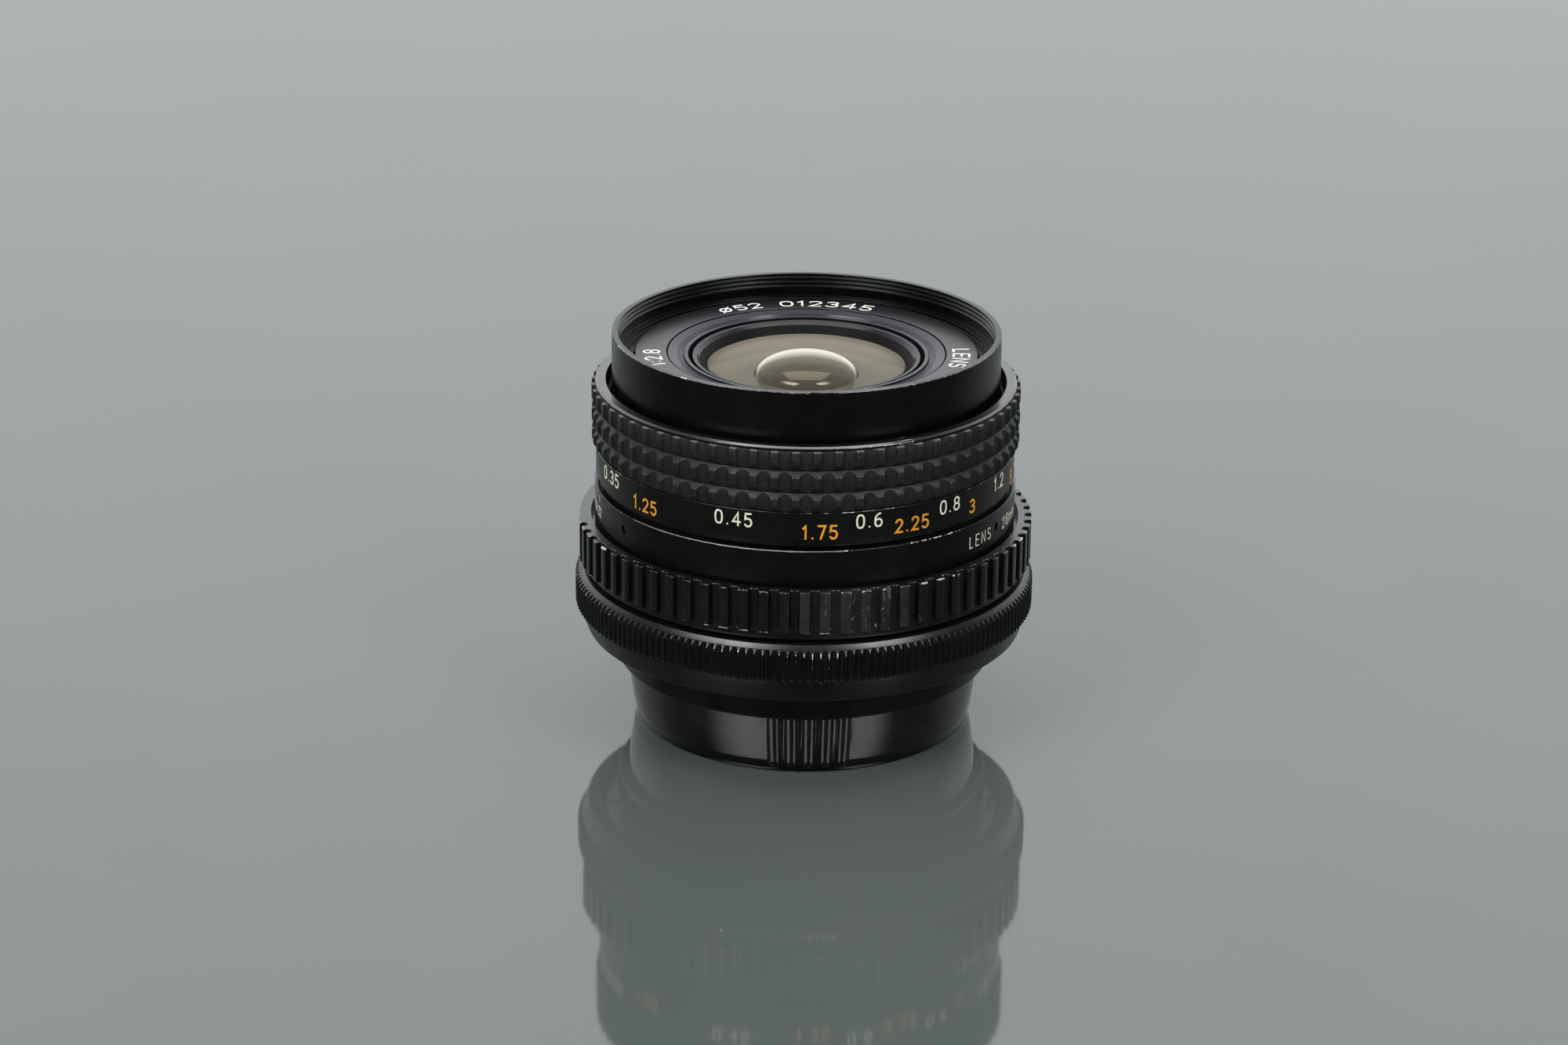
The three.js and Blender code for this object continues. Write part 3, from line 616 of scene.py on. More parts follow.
def shaped_sections(profile, count, extra, reshape):
    """Even angles plus extra ones; reshape(theta, radius, height, wear) moves each point."""
    angles = sorted(set([round(TAU * j / count, 7) for j in range(count)]
                        + [round(a % TAU, 7) for a in extra]))
    return [(theta, [reshape(theta, *point) for point in profile]) for theta in angles]


def stand_for(obj, node):
    """Hides the frame node that the object takes the place of."""
    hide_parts(node)


def wrap(angle):
    return (angle + math.pi) % TAU - math.pi


def from_front(theta, centre=0):
    """Degrees from an azimuth to theta."""
    return math.degrees(wrap(theta - azimuth(centre)))


def bump_at(theta, centre, half):
    """1 at the centre azimuth, falling to 0 at half degrees either side."""
    distance = abs(from_front(theta, centre)) / half
    return max(0.0, 1.0 - distance * distance)


def handled(theta, base, patches):
    """Wear round a ring: a base value plus patches of (gain, azimuth, half width)."""
    return base + sum(gain * bump_at(theta, centre, half) for gain, centre, half in patches)


def radial_frame(degrees):
    """Outward, sideways and up directions at an azimuth."""
    a = azimuth(degrees)
    return (Vector((math.cos(a), math.sin(a), 0)), Vector((-math.sin(a), math.cos(a), 0)),
            Vector((0, 0, 1)))


def radial_plug(name, rings, degrees, height, sides, material, body, **look):
    """Round plug lying along the radius; rings are (distance from the axis, plug radius)."""
    outward, sideways, up = radial_frame(degrees)
    verts, faces = [], []
    for distance, radius in rings:
        for i in range(sides):
            t = TAU * i / sides
            verts.append(tuple(outward * distance + sideways * (radius * math.cos(t))
                               + up * (height + radius * math.sin(t))))
    for start in range(0, sides * (len(rings) - 1), sides):
        for i in range(sides):
            j = (i + 1) % sides
            faces.append([start + i, start + j, start + sides + j, start + sides + i])
    faces += [list(range(sides))[::-1], list(range(len(verts) - sides, len(verts)))]
    return make_object(name, verts, faces, material, body, **look)


def carve(obj, tools, sharp):
    """Cuts throwaway tools out of an object, bakes the result and removes the tools."""
    for tool in tools:
        cut = obj.modifiers.new("cut", "BOOLEAN")
        cut.operation, cut.solver, cut.object = "DIFFERENCE", "EXACT", tool
        graph = bpy.context.evaluated_depsgraph_get()
        mesh = bpy.data.meshes.new_from_object(obj.evaluated_get(graph), depsgraph=graph,
                                               preserve_all_data_layers=True)
        obj.modifiers.clear()
        old = obj.data
        obj.data = mesh
        bpy.data.meshes.remove(old)
        bpy.data.objects.remove(tool, do_unlink=True)
    obj.data.shade_smooth()
    obj.data.set_sharp_from_angle(angle=rad(sharp))


# ------------------------------------------------------------------------ stroke font
def arc(cx, cy, rx, ry, start, end, count):
    angles = [rad(start + (end - start) * i / count) for i in range(count + 1)]
    return [(cx + rx * math.cos(a), cy + ry * math.sin(a)) for a in angles]


def loop(cx, cy, rx, ry, count=26, power=2.6):
    """Closed superellipse."""
    points = []
    for i in range(count + 1):
        a = TAU * i / count
        c, s = math.cos(a), math.sin(a)
        points.append((cx + rx * math.copysign(abs(c) ** (2 / power), c),
                       cy + ry * math.copysign(abs(s) ** (2 / power), s)))
    return points


# Character: (advance width, strokes), in units of the letter height. "~" is the infinity sign.
GLYPH = {
    "0": (0.58, [loop(0.29, 0.5, 0.27, 0.5)]),
    "1": (0.30, [[(0.02, 0.78), (0.20, 1.0), (0.20, 0.0)]]),
    "2": (0.56, [arc(0.28, 0.73, 0.26, 0.27, 165, -35, 12) + [(0.03, 0.0), (0.55, 0.0)]]),
    "3": (0.56, [arc(0.26, 0.75, 0.24, 0.25, 150, -90, 12),
                 arc(0.26, 0.26, 0.28, 0.26, 90, -150, 12)]),
    "4": (0.60, [[(0.43, 0.0), (0.43, 1.0), (0.02, 0.28), (0.60, 0.28)]]),
    "5": (0.56, [[(0.50, 1.0), (0.10, 1.0), (0.06, 0.53)]
                 + arc(0.27, 0.31, 0.27, 0.31, 128, -145, 14)]),
    "6": (0.56, [arc(0.50, 0.55, 0.47, 0.47, 100, 180, 6) + [(0.03, 0.30)],
                 loop(0.29, 0.29, 0.26, 0.29, 20, 2.2)]),
    "7": (0.54, [[(0.02, 1.0), (0.53, 1.0), (0.20, 0.0)]]),
    "8": (0.56, [loop(0.28, 0.75, 0.23, 0.25, 18, 2.1), loop(0.28, 0.26, 0.27, 0.26, 20, 2.1)]),
    ".": (0.16, [[(0.08, 0.03), (0.08, 0.04)]]),
    ":": (0.16, [[(0.08, 0.18), (0.08, 0.19)], [(0.08, 0.68), (0.08, 0.69)]]),
    "A": (0.64, [[(0.02, 0.0), (0.32, 1.0), (0.62, 0.0)], [(0.13, 0.33), (0.51, 0.33)]]),
    "E": (0.50, [[(0.50, 1.0), (0.03, 1.0), (0.03, 0.0), (0.50, 0.0)],
                 [(0.03, 0.52), (0.42, 0.52)]]),
    "L": (0.46, [[(0.03, 1.0), (0.03, 0.0), (0.46, 0.0)]]),
    "N": (0.58, [[(0.03, 0.0), (0.03, 1.0), (0.55, 0.0), (0.55, 1.0)]]),
    "S": (0.54, [arc(0.27, 0.745, 0.23, 0.255, 35, 265, 12)
                 + arc(0.27, 0.25, 0.25, 0.25, 85, -150, 12)]),
    "m": (0.80, [[(0.03, 0.0), (0.03, 0.68)],
                 [(0.03, 0.48)] + arc(0.22, 0.48, 0.19, 0.20, 180, 0, 8) + [(0.41, 0.0)],
                 [(0.41, 0.48)] + arc(0.60, 0.48, 0.18, 0.20, 180, 0, 8) + [(0.78, 0.0)]]),
    "f": (0.36, [arc(0.33, 0.80, 0.18, 0.20, 80, 180, 6) + [(0.15, 0.0)],
                 [(0.0, 0.62), (0.33, 0.62)]]),
    "t": (0.34, [[(0.14, 0.92), (0.14, 0.16)] + arc(0.29, 0.16, 0.15, 0.16, 180, 280, 6),
                 [(0.0, 0.66), (0.32, 0.66)]]),
    "#": (0.66, [loop(0.33, 0.45, 0.27, 0.36, 24, 2.1), [(0.04, 0.02), (0.62, 0.90)]]),
    "~": (1.10, [[(0.55 + 0.50 * math.sin(t) / (1 + 0.25 * math.cos(t) ** 2),
                   0.42 + 0.34 * math.sin(t) * math.cos(t))
                  for t in [TAU * i / 32 for i in range(33)]]]),
}


def text_strokes(text, height, gap, widen):
    """Polylines of a line of text, centred on x = 0 with its foot at y = 0."""
    pen, lines = 0.0, []
    for char in text:
        advance, strokes = GLYPH[char]
        for stroke in strokes:
            lines.append([(pen + x * widen, y) for x, y in stroke])
        pen += advance * widen + gap
    width = pen - gap
    return [[((x - width / 2) * height, y * height) for x, y in line] for line in lines]


def shift(lines, dx, dy):
    return [[(x + dx, y + dy) for x, y in line] for line in lines]


def stroke_polygons(stroke, half):
    """Quads along one stroke, mitred at its bends, with round ends unless it is closed."""
    points = [Vector(p) for p in stroke]
    count = len(points)
    closed = count > 3 and (points[0] - points[-1]).length < 1e-6
    left, right = [], []
    for i, point in enumerate(points):
        if closed:
            before = points[i - 1] if i else points[-2]
            after = points[i + 1] if i < count - 1 else points[1]
        else:
            before, after = points[max(0, i - 1)], points[min(count - 1, i + 1)]
        way_in, way_out = point - before, after - point
        if way_in.length > 1e-9:
            way_in = way_in.normalized()
        else:
            way_in = way_out.normalized() if way_out.length > 1e-9 else Vector((1, 0))
        way_out = way_out.normalized() if way_out.length > 1e-9 else way_in
        along = way_in + way_out
        along = along.normalized() if along.length > 1e-6 else way_in
        side = Vector((-along.y, along.x))
        mitre = max(0.45, side.dot(Vector((-way_in.y, way_in.x))))
        left.append(point + side * half / mitre)
        right.append(point - side * half / mitre)
    polygons = [[left[i], right[i], right[i + 1], left[i + 1]] for i in range(count - 1)]
    if not closed:
        for end in (points[0], points[-1]):
            polygons.append([end + Vector((half * math.cos(TAU * k / 10),
                                           half * math.sin(TAU * k / 10))) for k in range(10)])
    return polygons


def ink(lines, half):
    """Joins stroke outlines of the given half width into one flat triangulation."""
    verts, faces, regions = [], [], []
    for line in lines:
        for polygon in stroke_polygons(line, half):
            faces.append(list(range(len(verts), len(verts) + len(polygon))))
            verts += polygon
            ring = list(polygon)
            if sum(a.x * b.y - b.x * a.y for a, b in zip([ring[-1]] + ring[:-1], ring)) < 0:
                ring.reverse()
            xs, ys = [p.x for p in ring], [p.y for p in ring]
            regions.append((min(xs), max(xs), min(ys), max(ys), ring))

    def covered(x, y):
        for x0, x1, y0, y1, ring in regions:
            if x0 <= x <= x1 and y0 <= y <= y1 and all(
                    (b.x - a.x) * (y - a.y) - (b.y - a.y) * (x - a.x) >= 0
                    for a, b in zip([ring[-1]] + ring[:-1], ring)):
                return True
        return False

    points, _, triangles, *_ = delaunay_2d_cdt(verts, [], faces, 0, 1e-5)
    kept = [t for t in triangles
            if covered(sum(points[i].x for i in t) / 3, sum(points[i].y for i in t) / 3)]
    used = sorted({i for t in kept for i in t})
    remap = {i: k for k, i in enumerate(used)}
    return [tuple(points[i]) for i in used], [[remap[i] for i in t] for t in kept]


INK_DEPTH = 0.05


def inlay(name, groups, place, material, body, half, proud=0.018):
    """Thin paint-filled lettering: groups of polylines; place(x, y, height) gives a point."""
    verts, faces = [], []
    for lines in groups:
        points, triangles = ink(lines, half)
        base, count = len(verts), len(points)
        verts += [place(x, y, proud) for x, y in points]
        verts += [place(x, y, -INK_DEPTH) for x, y in points]
        edges = set()
        for t in triangles:
            a = Vector(points[t[1]]) - Vector(points[t[0]])
            b = Vector(points[t[2]]) - Vector(points[t[0]])
            if a.x * b.y - a.y * b.x < 0:
                t = t[::-1]
            faces.append([base + i for i in t])
            faces.append([base + count + i for i in reversed(t)])
            edges.update((t[i], t[(i + 1) % 3]) for i in range(3))
            # dictionary order below keeps the side walls in a fixed order
        for i, j in sorted(edges):
            if (j, i) not in edges:
                faces.append([base + j, base + i, base + count + i, base + count + j])
    return make_object(name, verts, faces, material, body, sharp=40)


def on_cylinder(radius):
    def place(x, y, height):
        angle = azimuth(0) + x / radius
        return ((radius + height) * math.cos(angle), (radius + height) * math.sin(angle), y)
    return place


def scale_line(name, items, material, radius, middle, height, body, half, widen=1.0, gap=0.33):
    """Texts at azimuths round a cylinder: items are (text, azimuth)."""
    groups = [shift(text_strokes(text, height, gap, widen), rad(a) * radius, middle - height / 2)
              for text, a in items]
    inlay(name, groups, on_cylinder(radius), material, body, half)


def ticks(name, azimuths, material, radius, bottom, top, body, half):
    groups = [[[(rad(a) * radius, bottom), (rad(a) * radius, top)]] for a in azimuths]
    inlay(name, groups, on_cylinder(radius), material, body, half)


def ring_text(name, text, middle, radius, height, face_z, half, widen, gap):
    """Lettering on the name ring, tops outward, running clockwise when seen from above."""
    def place(x, y, lift):
        angle = azimuth(middle) - x / radius
        return ((radius + y) * math.cos(angle), (radius + y) * math.sin(angle), face_z + lift)

    lines = shift(text_strokes(text, height, gap, widen), 0, -height / 2)
    inlay(name, [lines], place, MAT["silver"], "optical_block", half, proud=0.012)


# --------------------------------------------------------------------------- rear cap
# Five short upright ribs, round-ended at the foot, stand on the tapering wall at the front.
RIB_AZIMUTHS = (-9.4, -3.8, 1.9, 7.5, 13.2)
RIB_HALF = 0.90
RIB_HEIGHT = 0.62
RIB_FOOT_Z = 1.60
RIB_WALL_R = 24.6                # wall radius used to space the columns over a rib
WALL_FOOT, WALL_BEND = (23.55, 0.45), (24.08, 1.9)
WALL_STEPS = (0.0, 0.12, 0.2, 0.28, 0.36, 0.46, 0.58, 0.7, 0.85)


def cap_ribs(theta, radius, height, wear):
    if 0.3 < height < 8.96 and 23.4 < radius < 25.3:
        for a in RIB_AZIMUTHS:
            across = wrap(theta - azimuth(a)) * radius
            below = max(0.0, RIB_FOOT_Z - height)
            rise = 1.0 - (across * across + below * below) / (RIB_HALF * RIB_HALF)
            if rise > 0:
                radius = radius + RIB_HEIGHT * math.sqrt(rise)
    return (radius, height, wear)


foot_wall = [tuple(a + (b - a) * t for a, b in ((WALL_FOOT[0], WALL_BEND[0]), (0.45, 1.9)))
             for t in WALL_STEPS]
cap_outline = [
    (0, 0), (22.6, 0, 0), (23.5, 0, 0.40, 0.5), *foot_wall, WALL_BEND, (24.58, 5.33),
    (25.10, 8.92), (26.2, 9.0, 0.05), (26.40, 9.15, 0.1, 0.4), (26.40, 14.6, 0.25),
    (25.4, 14.6, 0.15), (25.4, 10.4, 0.2), (22.6, 10.4, 0.3), (21.6, 1.7, 0.5), (0, 1.7)]
rib_angles = []
for a in RIB_AZIMUTHS:
    for i in range(-9, 10):
        rib_angles.append(azimuth(a) + (math.sin(i / 9 * math.pi / 2) * RIB_HALF) / RIB_WALL_R)
    rib_angles += [azimuth(a) + 0.97 / RIB_WALL_R, azimuth(a) - 0.97 / RIB_WALL_R]
cap = sweep_sections("cap_moulding",
                     shaped_sections(soften(cap_outline, 4), 168, rib_angles, cap_ribs),
                     MAT["cap"], "cap", closed=False, sharp=38)
stand_for(cap, "rear_cap")

# ----------------------------------------------------------------- fixed barrel group
barrel_outline = [
    (26.5, 16.95, 0.05), (28.3, 16.95, 0.1), (28.3, 22.45), (28.8, 22.45, 0.05),
    (28.8, 34.6, 0.1), (28.1, 34.6, 0.1), (28.1, 31.0), (26.5, 31.0)]
stand_for(turned("barrel_tube", barrel_outline, MAT["satin"], "barrel", 128),
          "fixed_barrel")

INDEX_R = 29.5                   # outside of the index ring
SCREW_AZIMUTHS = [-57.1 + 120 * i for i in range(3)]
SCREW_Z = 32.65
SCREW_HOLE_R = 0.62
SCREW_R = 0.50
SCREW_INNER, SCREW_OUTER = 28.9, 29.24   # distances of its ends from the axis
SCREW_CHAMFER = 0.10


def index_wear_and_highlight(theta, radius, height, wear):
    """The top edge carries a painted highlight line a little left of the front; elsewhere it is
    worn, most in a patch at 38.
    """
    if wear > 0:
        offset = from_front(theta, -14)
        front = math.exp(-((offset / (30.0 if offset > 0 else 46.0)) ** 2))
        wear = 1.9 + 0.65 * front if front > 0.5 else 0.35 + 0.8 * front
        patch = bump_at(theta, centre=38, half=14)
        if patch > 0:
            wear = 0.4 + 0.85 * patch
    return (radius, height, wear)


index_outline = [(28.88, 29.0, 0.05), (INDEX_R, 29.0, 0.05), (INDEX_R, 34.97, 0.09, 1.0),
                 (28.88, 34.97, 0.05)]
index_ring = sweep_sections(
    "index_ring_body", shaped_sections(soften(index_outline, 4), 180, (), index_wear_and_highlight),
    MAT["satin"], "barrel")
carve(index_ring, [radial_plug("tmp", [(28.0, SCREW_HOLE_R), (31.0, SCREW_HOLE_R)], a, SCREW_Z,
                               20, MAT["flat"], None, smooth=False) for a in SCREW_AZIMUTHS],
      sharp=35)
stand_for(index_ring, "index_ring")


def slot_blade(degrees):
    """Slot cutter across the radius. It lies at z = 0, clear of the screw, and cuts nothing."""
    outward, sideways, up = radial_frame(degrees)
    half_length, half_width = SCREW_R * 1.3, SCREW_R * 0.16
    verts = []
    for step in (-0.22, 0.3):    # from below the outer face to beyond it
        for side, rise in ((-1, -1), (1, -1), (1, 1), (-1, 1)):
            verts.append(tuple(outward * (SCREW_OUTER + step)
                               + (sideways * (side * half_length) + up * (rise * half_width))))
    faces = [[0, 3, 2, 1], [4, 5, 6, 7], [0, 1, 5, 4], [1, 2, 6, 5], [2, 3, 7, 6], [3, 0, 4, 7]]
    return make_object("tmp", verts, faces, MAT["flat"], None, smooth=False)


grub_rings = [(SCREW_INNER, SCREW_R * 0.8), (SCREW_INNER + 0.1, SCREW_R),
              (SCREW_OUTER - SCREW_CHAMFER, SCREW_R), (SCREW_OUTER, SCREW_R - SCREW_CHAMFER)]
for i, a in enumerate(SCREW_AZIMUTHS):
    grub = radial_plug(f"index_grub_{i + 1}", grub_rings, a, SCREW_Z, 24, MAT["screw"],
                       "barrel", sharp=25)
    carve(grub, [slot_blade(a)], sharp=25)
    stand_for(grub, f"index_ring_screw_{i + 1}")

# ------------------------------------------------------------------------ focus group
SKIRT_R = 29.29                  # numbered skirt of the focus ring
GRIP_FOOT_Z = 40.40
REPEATS = 65                     # scallops round the grip
GRIP_AZIMUTH = 0.1               # middle of the first scallop


def focus_wear_and_light(theta, radius, height, wear):
    if wear > 0 and height > 49.0:
        wear = handled(theta, wear * (0.80 + 0.20 * math.sin(theta * 3 + 1.0)),
                       ((1.3, 27.2, 2.6), (0.5, 24, 9)))
    elif wear > 0 and height > 40.0:
        # painted light: the shoulder under the grip gets bright marks only where a scallop leaves it
        # open to light from above; under the lands it stays dark, as painted shadow
        across = abs(wrap((theta - azimuth(GRIP_AZIMUTH)) * REPEATS)) / REPEATS * 29.3
        wear = wear if across < 0.82 else 0.0
    return (radius, height, wear)


# wear above 1.95 paints a highlight line; the skirt's lower edge carries one all round
focus_outline = [
    (27.85, 35.5, 0.05), (28.75, 35.5, 0.08), (28.98, 35.62, 0.03, 2.22),
    (SKIRT_R, 36.42, 0.06, 0.30), (SKIRT_R, 40.34, 0.05, 0.95), (28.6, 40.36), (28.6, 49.04),
    (29.28, 49.06, 0.05, 0.5), (29.3, 49.36, 0.05, 1.05), (29.02, 49.6, 0.06, 0.2),
    (27.85, 49.6, 0.08, 0.25)]
focus_angles = [azimuth(27.2 + i * 0.4) for i in range(-8, 9)]
focus_angles += [azimuth(GRIP_AZIMUTH + k * 360 / REPEATS + d)
                 for k in range(REPEATS) for d in (-1.72, -1.5, 0.0, 1.5, 1.72)]
stand_for(sweep_sections(
    "focus_ring_body", shaped_sections(soften(focus_outline), 216, focus_angles, focus_wear_and_light),
    MAT["face"], "focus_group"), "focus_ring")

# Rubber grip: three rows; each repeat is one wide scallop and one narrow land.
PITCH = TAU / REPEATS
LAND_R, FLOOR_R = 29.85, 29.17
CHAMFER_R = 29.02
CHAMFER_HEIGHT = 0.80
SCALLOP_HALF = 0.93 / LAND_R     # in radians
SHOULDER = 0.055 / LAND_R        # rounded edge of a land, in radians
ROWS = ((GRIP_FOOT_Z, 43.12, True), (43.12, 46.22, True), (46.22, 49.00, False))  # with chamfer?
FOOT_R, FOOT_HEIGHT = 29.10, 0.80    # each row is undercut at its foot
GRIP_BORE = 28.68


def scallop_radius(share):
    """Surface radius at a signed share of a scallop's half width."""
    t = abs(share * SCALLOP_HALF) / SCALLOP_HALF
    if t >= 1.0:
        return LAND_R
    return FLOOR_R + (LAND_R - FLOOR_R) * (1.0 - math.sqrt(max(0.0, 1.0 - t * t))) ** 0.8


def grip_profile(radius, wear):
    points = []
    for bottom, top, chamfer in ROWS:
        lift = max(0.0, (radius - FOOT_R) / (LAND_R - FOOT_R))
        foot = bottom + 0.03 + FOOT_HEIGHT * lift
        points += [(min(radius, FOOT_R), bottom + 0.005, 0.0),
                   (radius - 0.03, foot - 0.03, 0.15 * wear), (radius, foot + 0.05, 0.3 * wear)]
        if chamfer:
            edge = top - (radius - CHAMFER_R) / (LAND_R - CHAMFER_R) * CHAMFER_HEIGHT
            points += [(radius, edge - 0.06, 0.25 * wear), (radius - 0.03, edge + 0.02, 0.9 * wear),
                       (CHAMFER_R + 0.02, top - 0.02, 0.0), (CHAMFER_R, top, 0.0)]
        else:
            # painted highlight: the top edge of each land in the top row gets a value of 2, painted
            # pale by the rubber
            top_highlight = 2.0 if radius > LAND_R - 0.06 else 0.0
            points += [(radius, top - 0.15, 0.4 * wear),
                       (radius - 0.10, top - 0.02, max(top_highlight, 0.9 * wear)),
                       (min(radius - 0.12, 29.34), top, top_highlight), (GRIP_BORE, top, 0.0)]
    return points + [(GRIP_BORE, GRIP_FOOT_Z, 0.0)]


grip_sections = []
for k in range(REPEATS):
    middle = azimuth(GRIP_AZIMUTH) + k * PITCH
    for share in (-1.0, -0.985, -0.93, -0.8, -0.6, -0.35, 0.0, 0.35, 0.6, 0.8, 0.93, 0.985):
        profile = grip_profile(scallop_radius(share), 0.35 if abs(share) < 0.98 else 1.0)
        grip_sections.append((middle + share * SCALLOP_HALF, profile))
    grip_sections += [
        (middle + SCALLOP_HALF, grip_profile(LAND_R - 0.045, 1.0)),
        (middle + SCALLOP_HALF + SHOULDER, grip_profile(LAND_R, 1.0)),
        (middle + PITCH - SCALLOP_HALF - SHOULDER, grip_profile(LAND_R, 1.0))]
stand_for(sweep_sections("grip_rubber_body", grip_sections, MAT["rubber"], "focus_group",
                         sharp=42), "rubber_grip")

# ---------------------------------------------------------------------- optical block
THREAD_R, THREAD_CREST_R = 26.30, 26.05
THREAD_PITCH = 0.64
NAME_Z = 53.4                    # top face of the name ring


def rim_wear_and_highlight(theta, radius, height, wear):
    """The outer top edge carries a painted highlight line on the near side, with two worn spots in
    it.
    """
    if wear > 0 and height > 56 and radius > 26.5:
        wear = 2.16 if math.cos(theta - azimuth(0)) > 0.30 else wear
        if bump_at(theta, 2, 1.2) > 0.3 or bump_at(theta, -38, 1.0) > 0.3:
            wear = 1.3
    return (radius, height, wear)


thread = []
z = 56.12
while z > 54.2:
    thread += [(THREAD_R, z, 0.02), (THREAD_CREST_R, z - 0.24, 0.03),
               (THREAD_CREST_R, z - 0.40, 0.03)]
    z -= THREAD_PITCH
filter_outline = [
    (24.05, 51.3, 0.05), (26.1, 50.6), (26.1, 48.2, 0.05), (27.0, 48.2, 0.08),
    (27.0, 56.5, 0.09, 0.45), (26.12, 56.5, 0.07, 0.30), *thread, (THREAD_R, 53.15, 0.05),
    (25.2, 53.12, 0.06), (25.2, 52.7, 0.04), (24.05, 52.7, 0.04)]
rim_angles = [azimuth(4 + i * 0.5) for i in range(-8, 9)]
stand_for(sweep_sections(
    "front_barrel_body", shaped_sections(soften(filter_outline), 240, rim_angles, rim_wear_and_highlight),
    MAT["wall"], "optical_block"), "filter_ring")

name_outline = [(19.42, 52.0), (23.9, 52.0), (23.9, 53.22, 0.05), (23.72, NAME_Z, 0.04, 0.25),
                (19.42, NAME_Z, 0.06, 0.3)]
stand_for(turned("name_ring_body", name_outline, MAT["name"], "optical_block", 180),
          "name_ring")

# Three shallow grooves step down and inwards across the baffle.
grooves = []
for i in range(3):
    radius = 17.92 - i * 0.27
    z = 53.02 - i * 0.05
    grooves += [(radius, z, 0.02), (radius - 0.04, z - 0.09, 0.01),
                (radius - 0.09, z - 0.09, 0.01), (radius - 0.12, z - 0.01, 0.02)]
baffle_outline = [
    (16.3, 50.9), (19.25, 50.9), (19.25, 53.30, 0.05), (19.05, 53.30, 0.05), (18.10, 53.06, 0.3),
    *grooves, (17.08, 52.84, 0.03), (17.05, 52.62, 0.02), (17.01, 52.62, 0.02),
    (17.0, 53.02, 0.08, 0.2), (16.42, 53.02, 0.10, 0.25)]
stand_for(turned("stepped_baffle_body", baffle_outline, MAT["band"], "optical_block", 180, 4),
          "stepped_baffle")

retainer_outline = [
    (13.95, 51.35), (15.86, 51.35), (15.86, 52.82, 0.12, 0.3), (15.30, 52.74, 0.5),
    (14.80, 52.40, 0.25), (13.84, 51.42, 0.05)]
stand_for(turned("retainer_body", retainer_outline, MAT["retain"], "optical_block", steps=5),
          "front_retainer")
bevel_outline = [(14.74, 52.40, 0.03), (14.60, 52.36, 0.03), (13.74, 51.44, 0.03),
                 (13.74, 51.38), (13.9, 51.36)]
turned("retainer_bevel", bevel_outline, MAT["seat"], "optical_block", steps=2)


def face_curve(rim_z, rim, sag):
    """Height of a spherical face through the rim, rising by sag at the axis."""
    if abs(sag) < 1e-6:
        return lambda radius: rim_z
    sphere = (rim * rim + sag * sag) / (2 * abs(sag))
    sign = 1 if sag > 0 else -1
    return lambda radius: rim_z + sign * (
        math.sqrt(max(0.0, sphere * sphere - radius * radius)) - (sphere - abs(sag)))


def lens(name, node, rim, front, back, steps=16):
    """Glass element between two face curves; the edge is ground."""
    radii = [rim * i / steps for i in range(steps + 1)]
    profile = [(r, back(r), 0.0) for r in radii] + [(r, front(r), 0.0) for r in radii[::-1]]
    face_mat = [1] * steps + [2] + [0] * (steps + 1)
    obj = sweep_sections(name, even_sections(profile, 112),
                         [MAT["glass_deep"], MAT["glass_deep"], MAT["flat"]], "optical_block",
                         closed=False, sharp=35, face_mat=face_mat)
    stand_for(obj, node)


def front_lens():
    """First element, with a deep hollow and a dished annulus in its rear face."""
    hollow_r, hollow_z, hollow_top = 7.0, 50.0, 52.92
    rim, hollow_steps, front_steps = 15.6, 24, 30
    front = face_curve(50.90, rim, sag=2.30)
    profile = []
    for i in range(hollow_steps + 1):
        radius = hollow_r * math.sin(i / hollow_steps * math.pi / 2)
        rise = math.sqrt(max(0.0, 1 - (radius / hollow_r) ** 2))
        profile.append((radius, hollow_z + (hollow_top - hollow_z) * rise, 0.0))
    # radius, height: a lip round the hollow, the annulus, then the seat at the edge
    rear = ((hollow_r, 49.3), (7.3, 49.3), (7.3, hollow_z), (9.5, hollow_z), (11.4, hollow_z),
            (12.5, 50.22), (13.5, 50.58), (14.6, 51.02), (14.9, 48.4), (rim, 48.4))
    profile += [(*point, 0.0) for point in rear]
    for i in range(front_steps, -1, -1):
        radius = rim * i / front_steps
        profile.append((radius, front(radius), 0.0))
    face_mat = ([1] * (hollow_steps + 1) + [2] * 2 + [3] * 5 + [2] * 3
                + [0] * (front_steps + 1))
    obj = sweep_sections("lens_1_body", even_sections(profile, 144),
                         [MAT[key] for key in ("glass", "glass_in", "seat", "glass_flat")],
                         "optical_block", closed=False, sharp=30, face_mat=face_mat)
    stand_for(obj, "lens_1")


front_lens()
lens("lens_2_body", "lens_2", rim=12.6, front=face_curve(45.3, 12.6, sag=0.8),
     back=face_curve(43.1, 12.6, sag=0.6))
lens("lens_3_body", "lens_3", rim=12.0, front=face_curve(41.1, 12.0, sag=0.0),
     back=face_curve(37.4, 12.0, sag=-0.8))


def grooved(radius, bottom, top, depth, pitch):
    """Outline rows of fine grooves, from the top down."""
    rows, height = [], top
    while height - pitch > bottom:
        rows += [(radius, height, 0.02), (radius + depth, height - pitch * 0.5, 0.02)]
        height -= pitch
    return rows


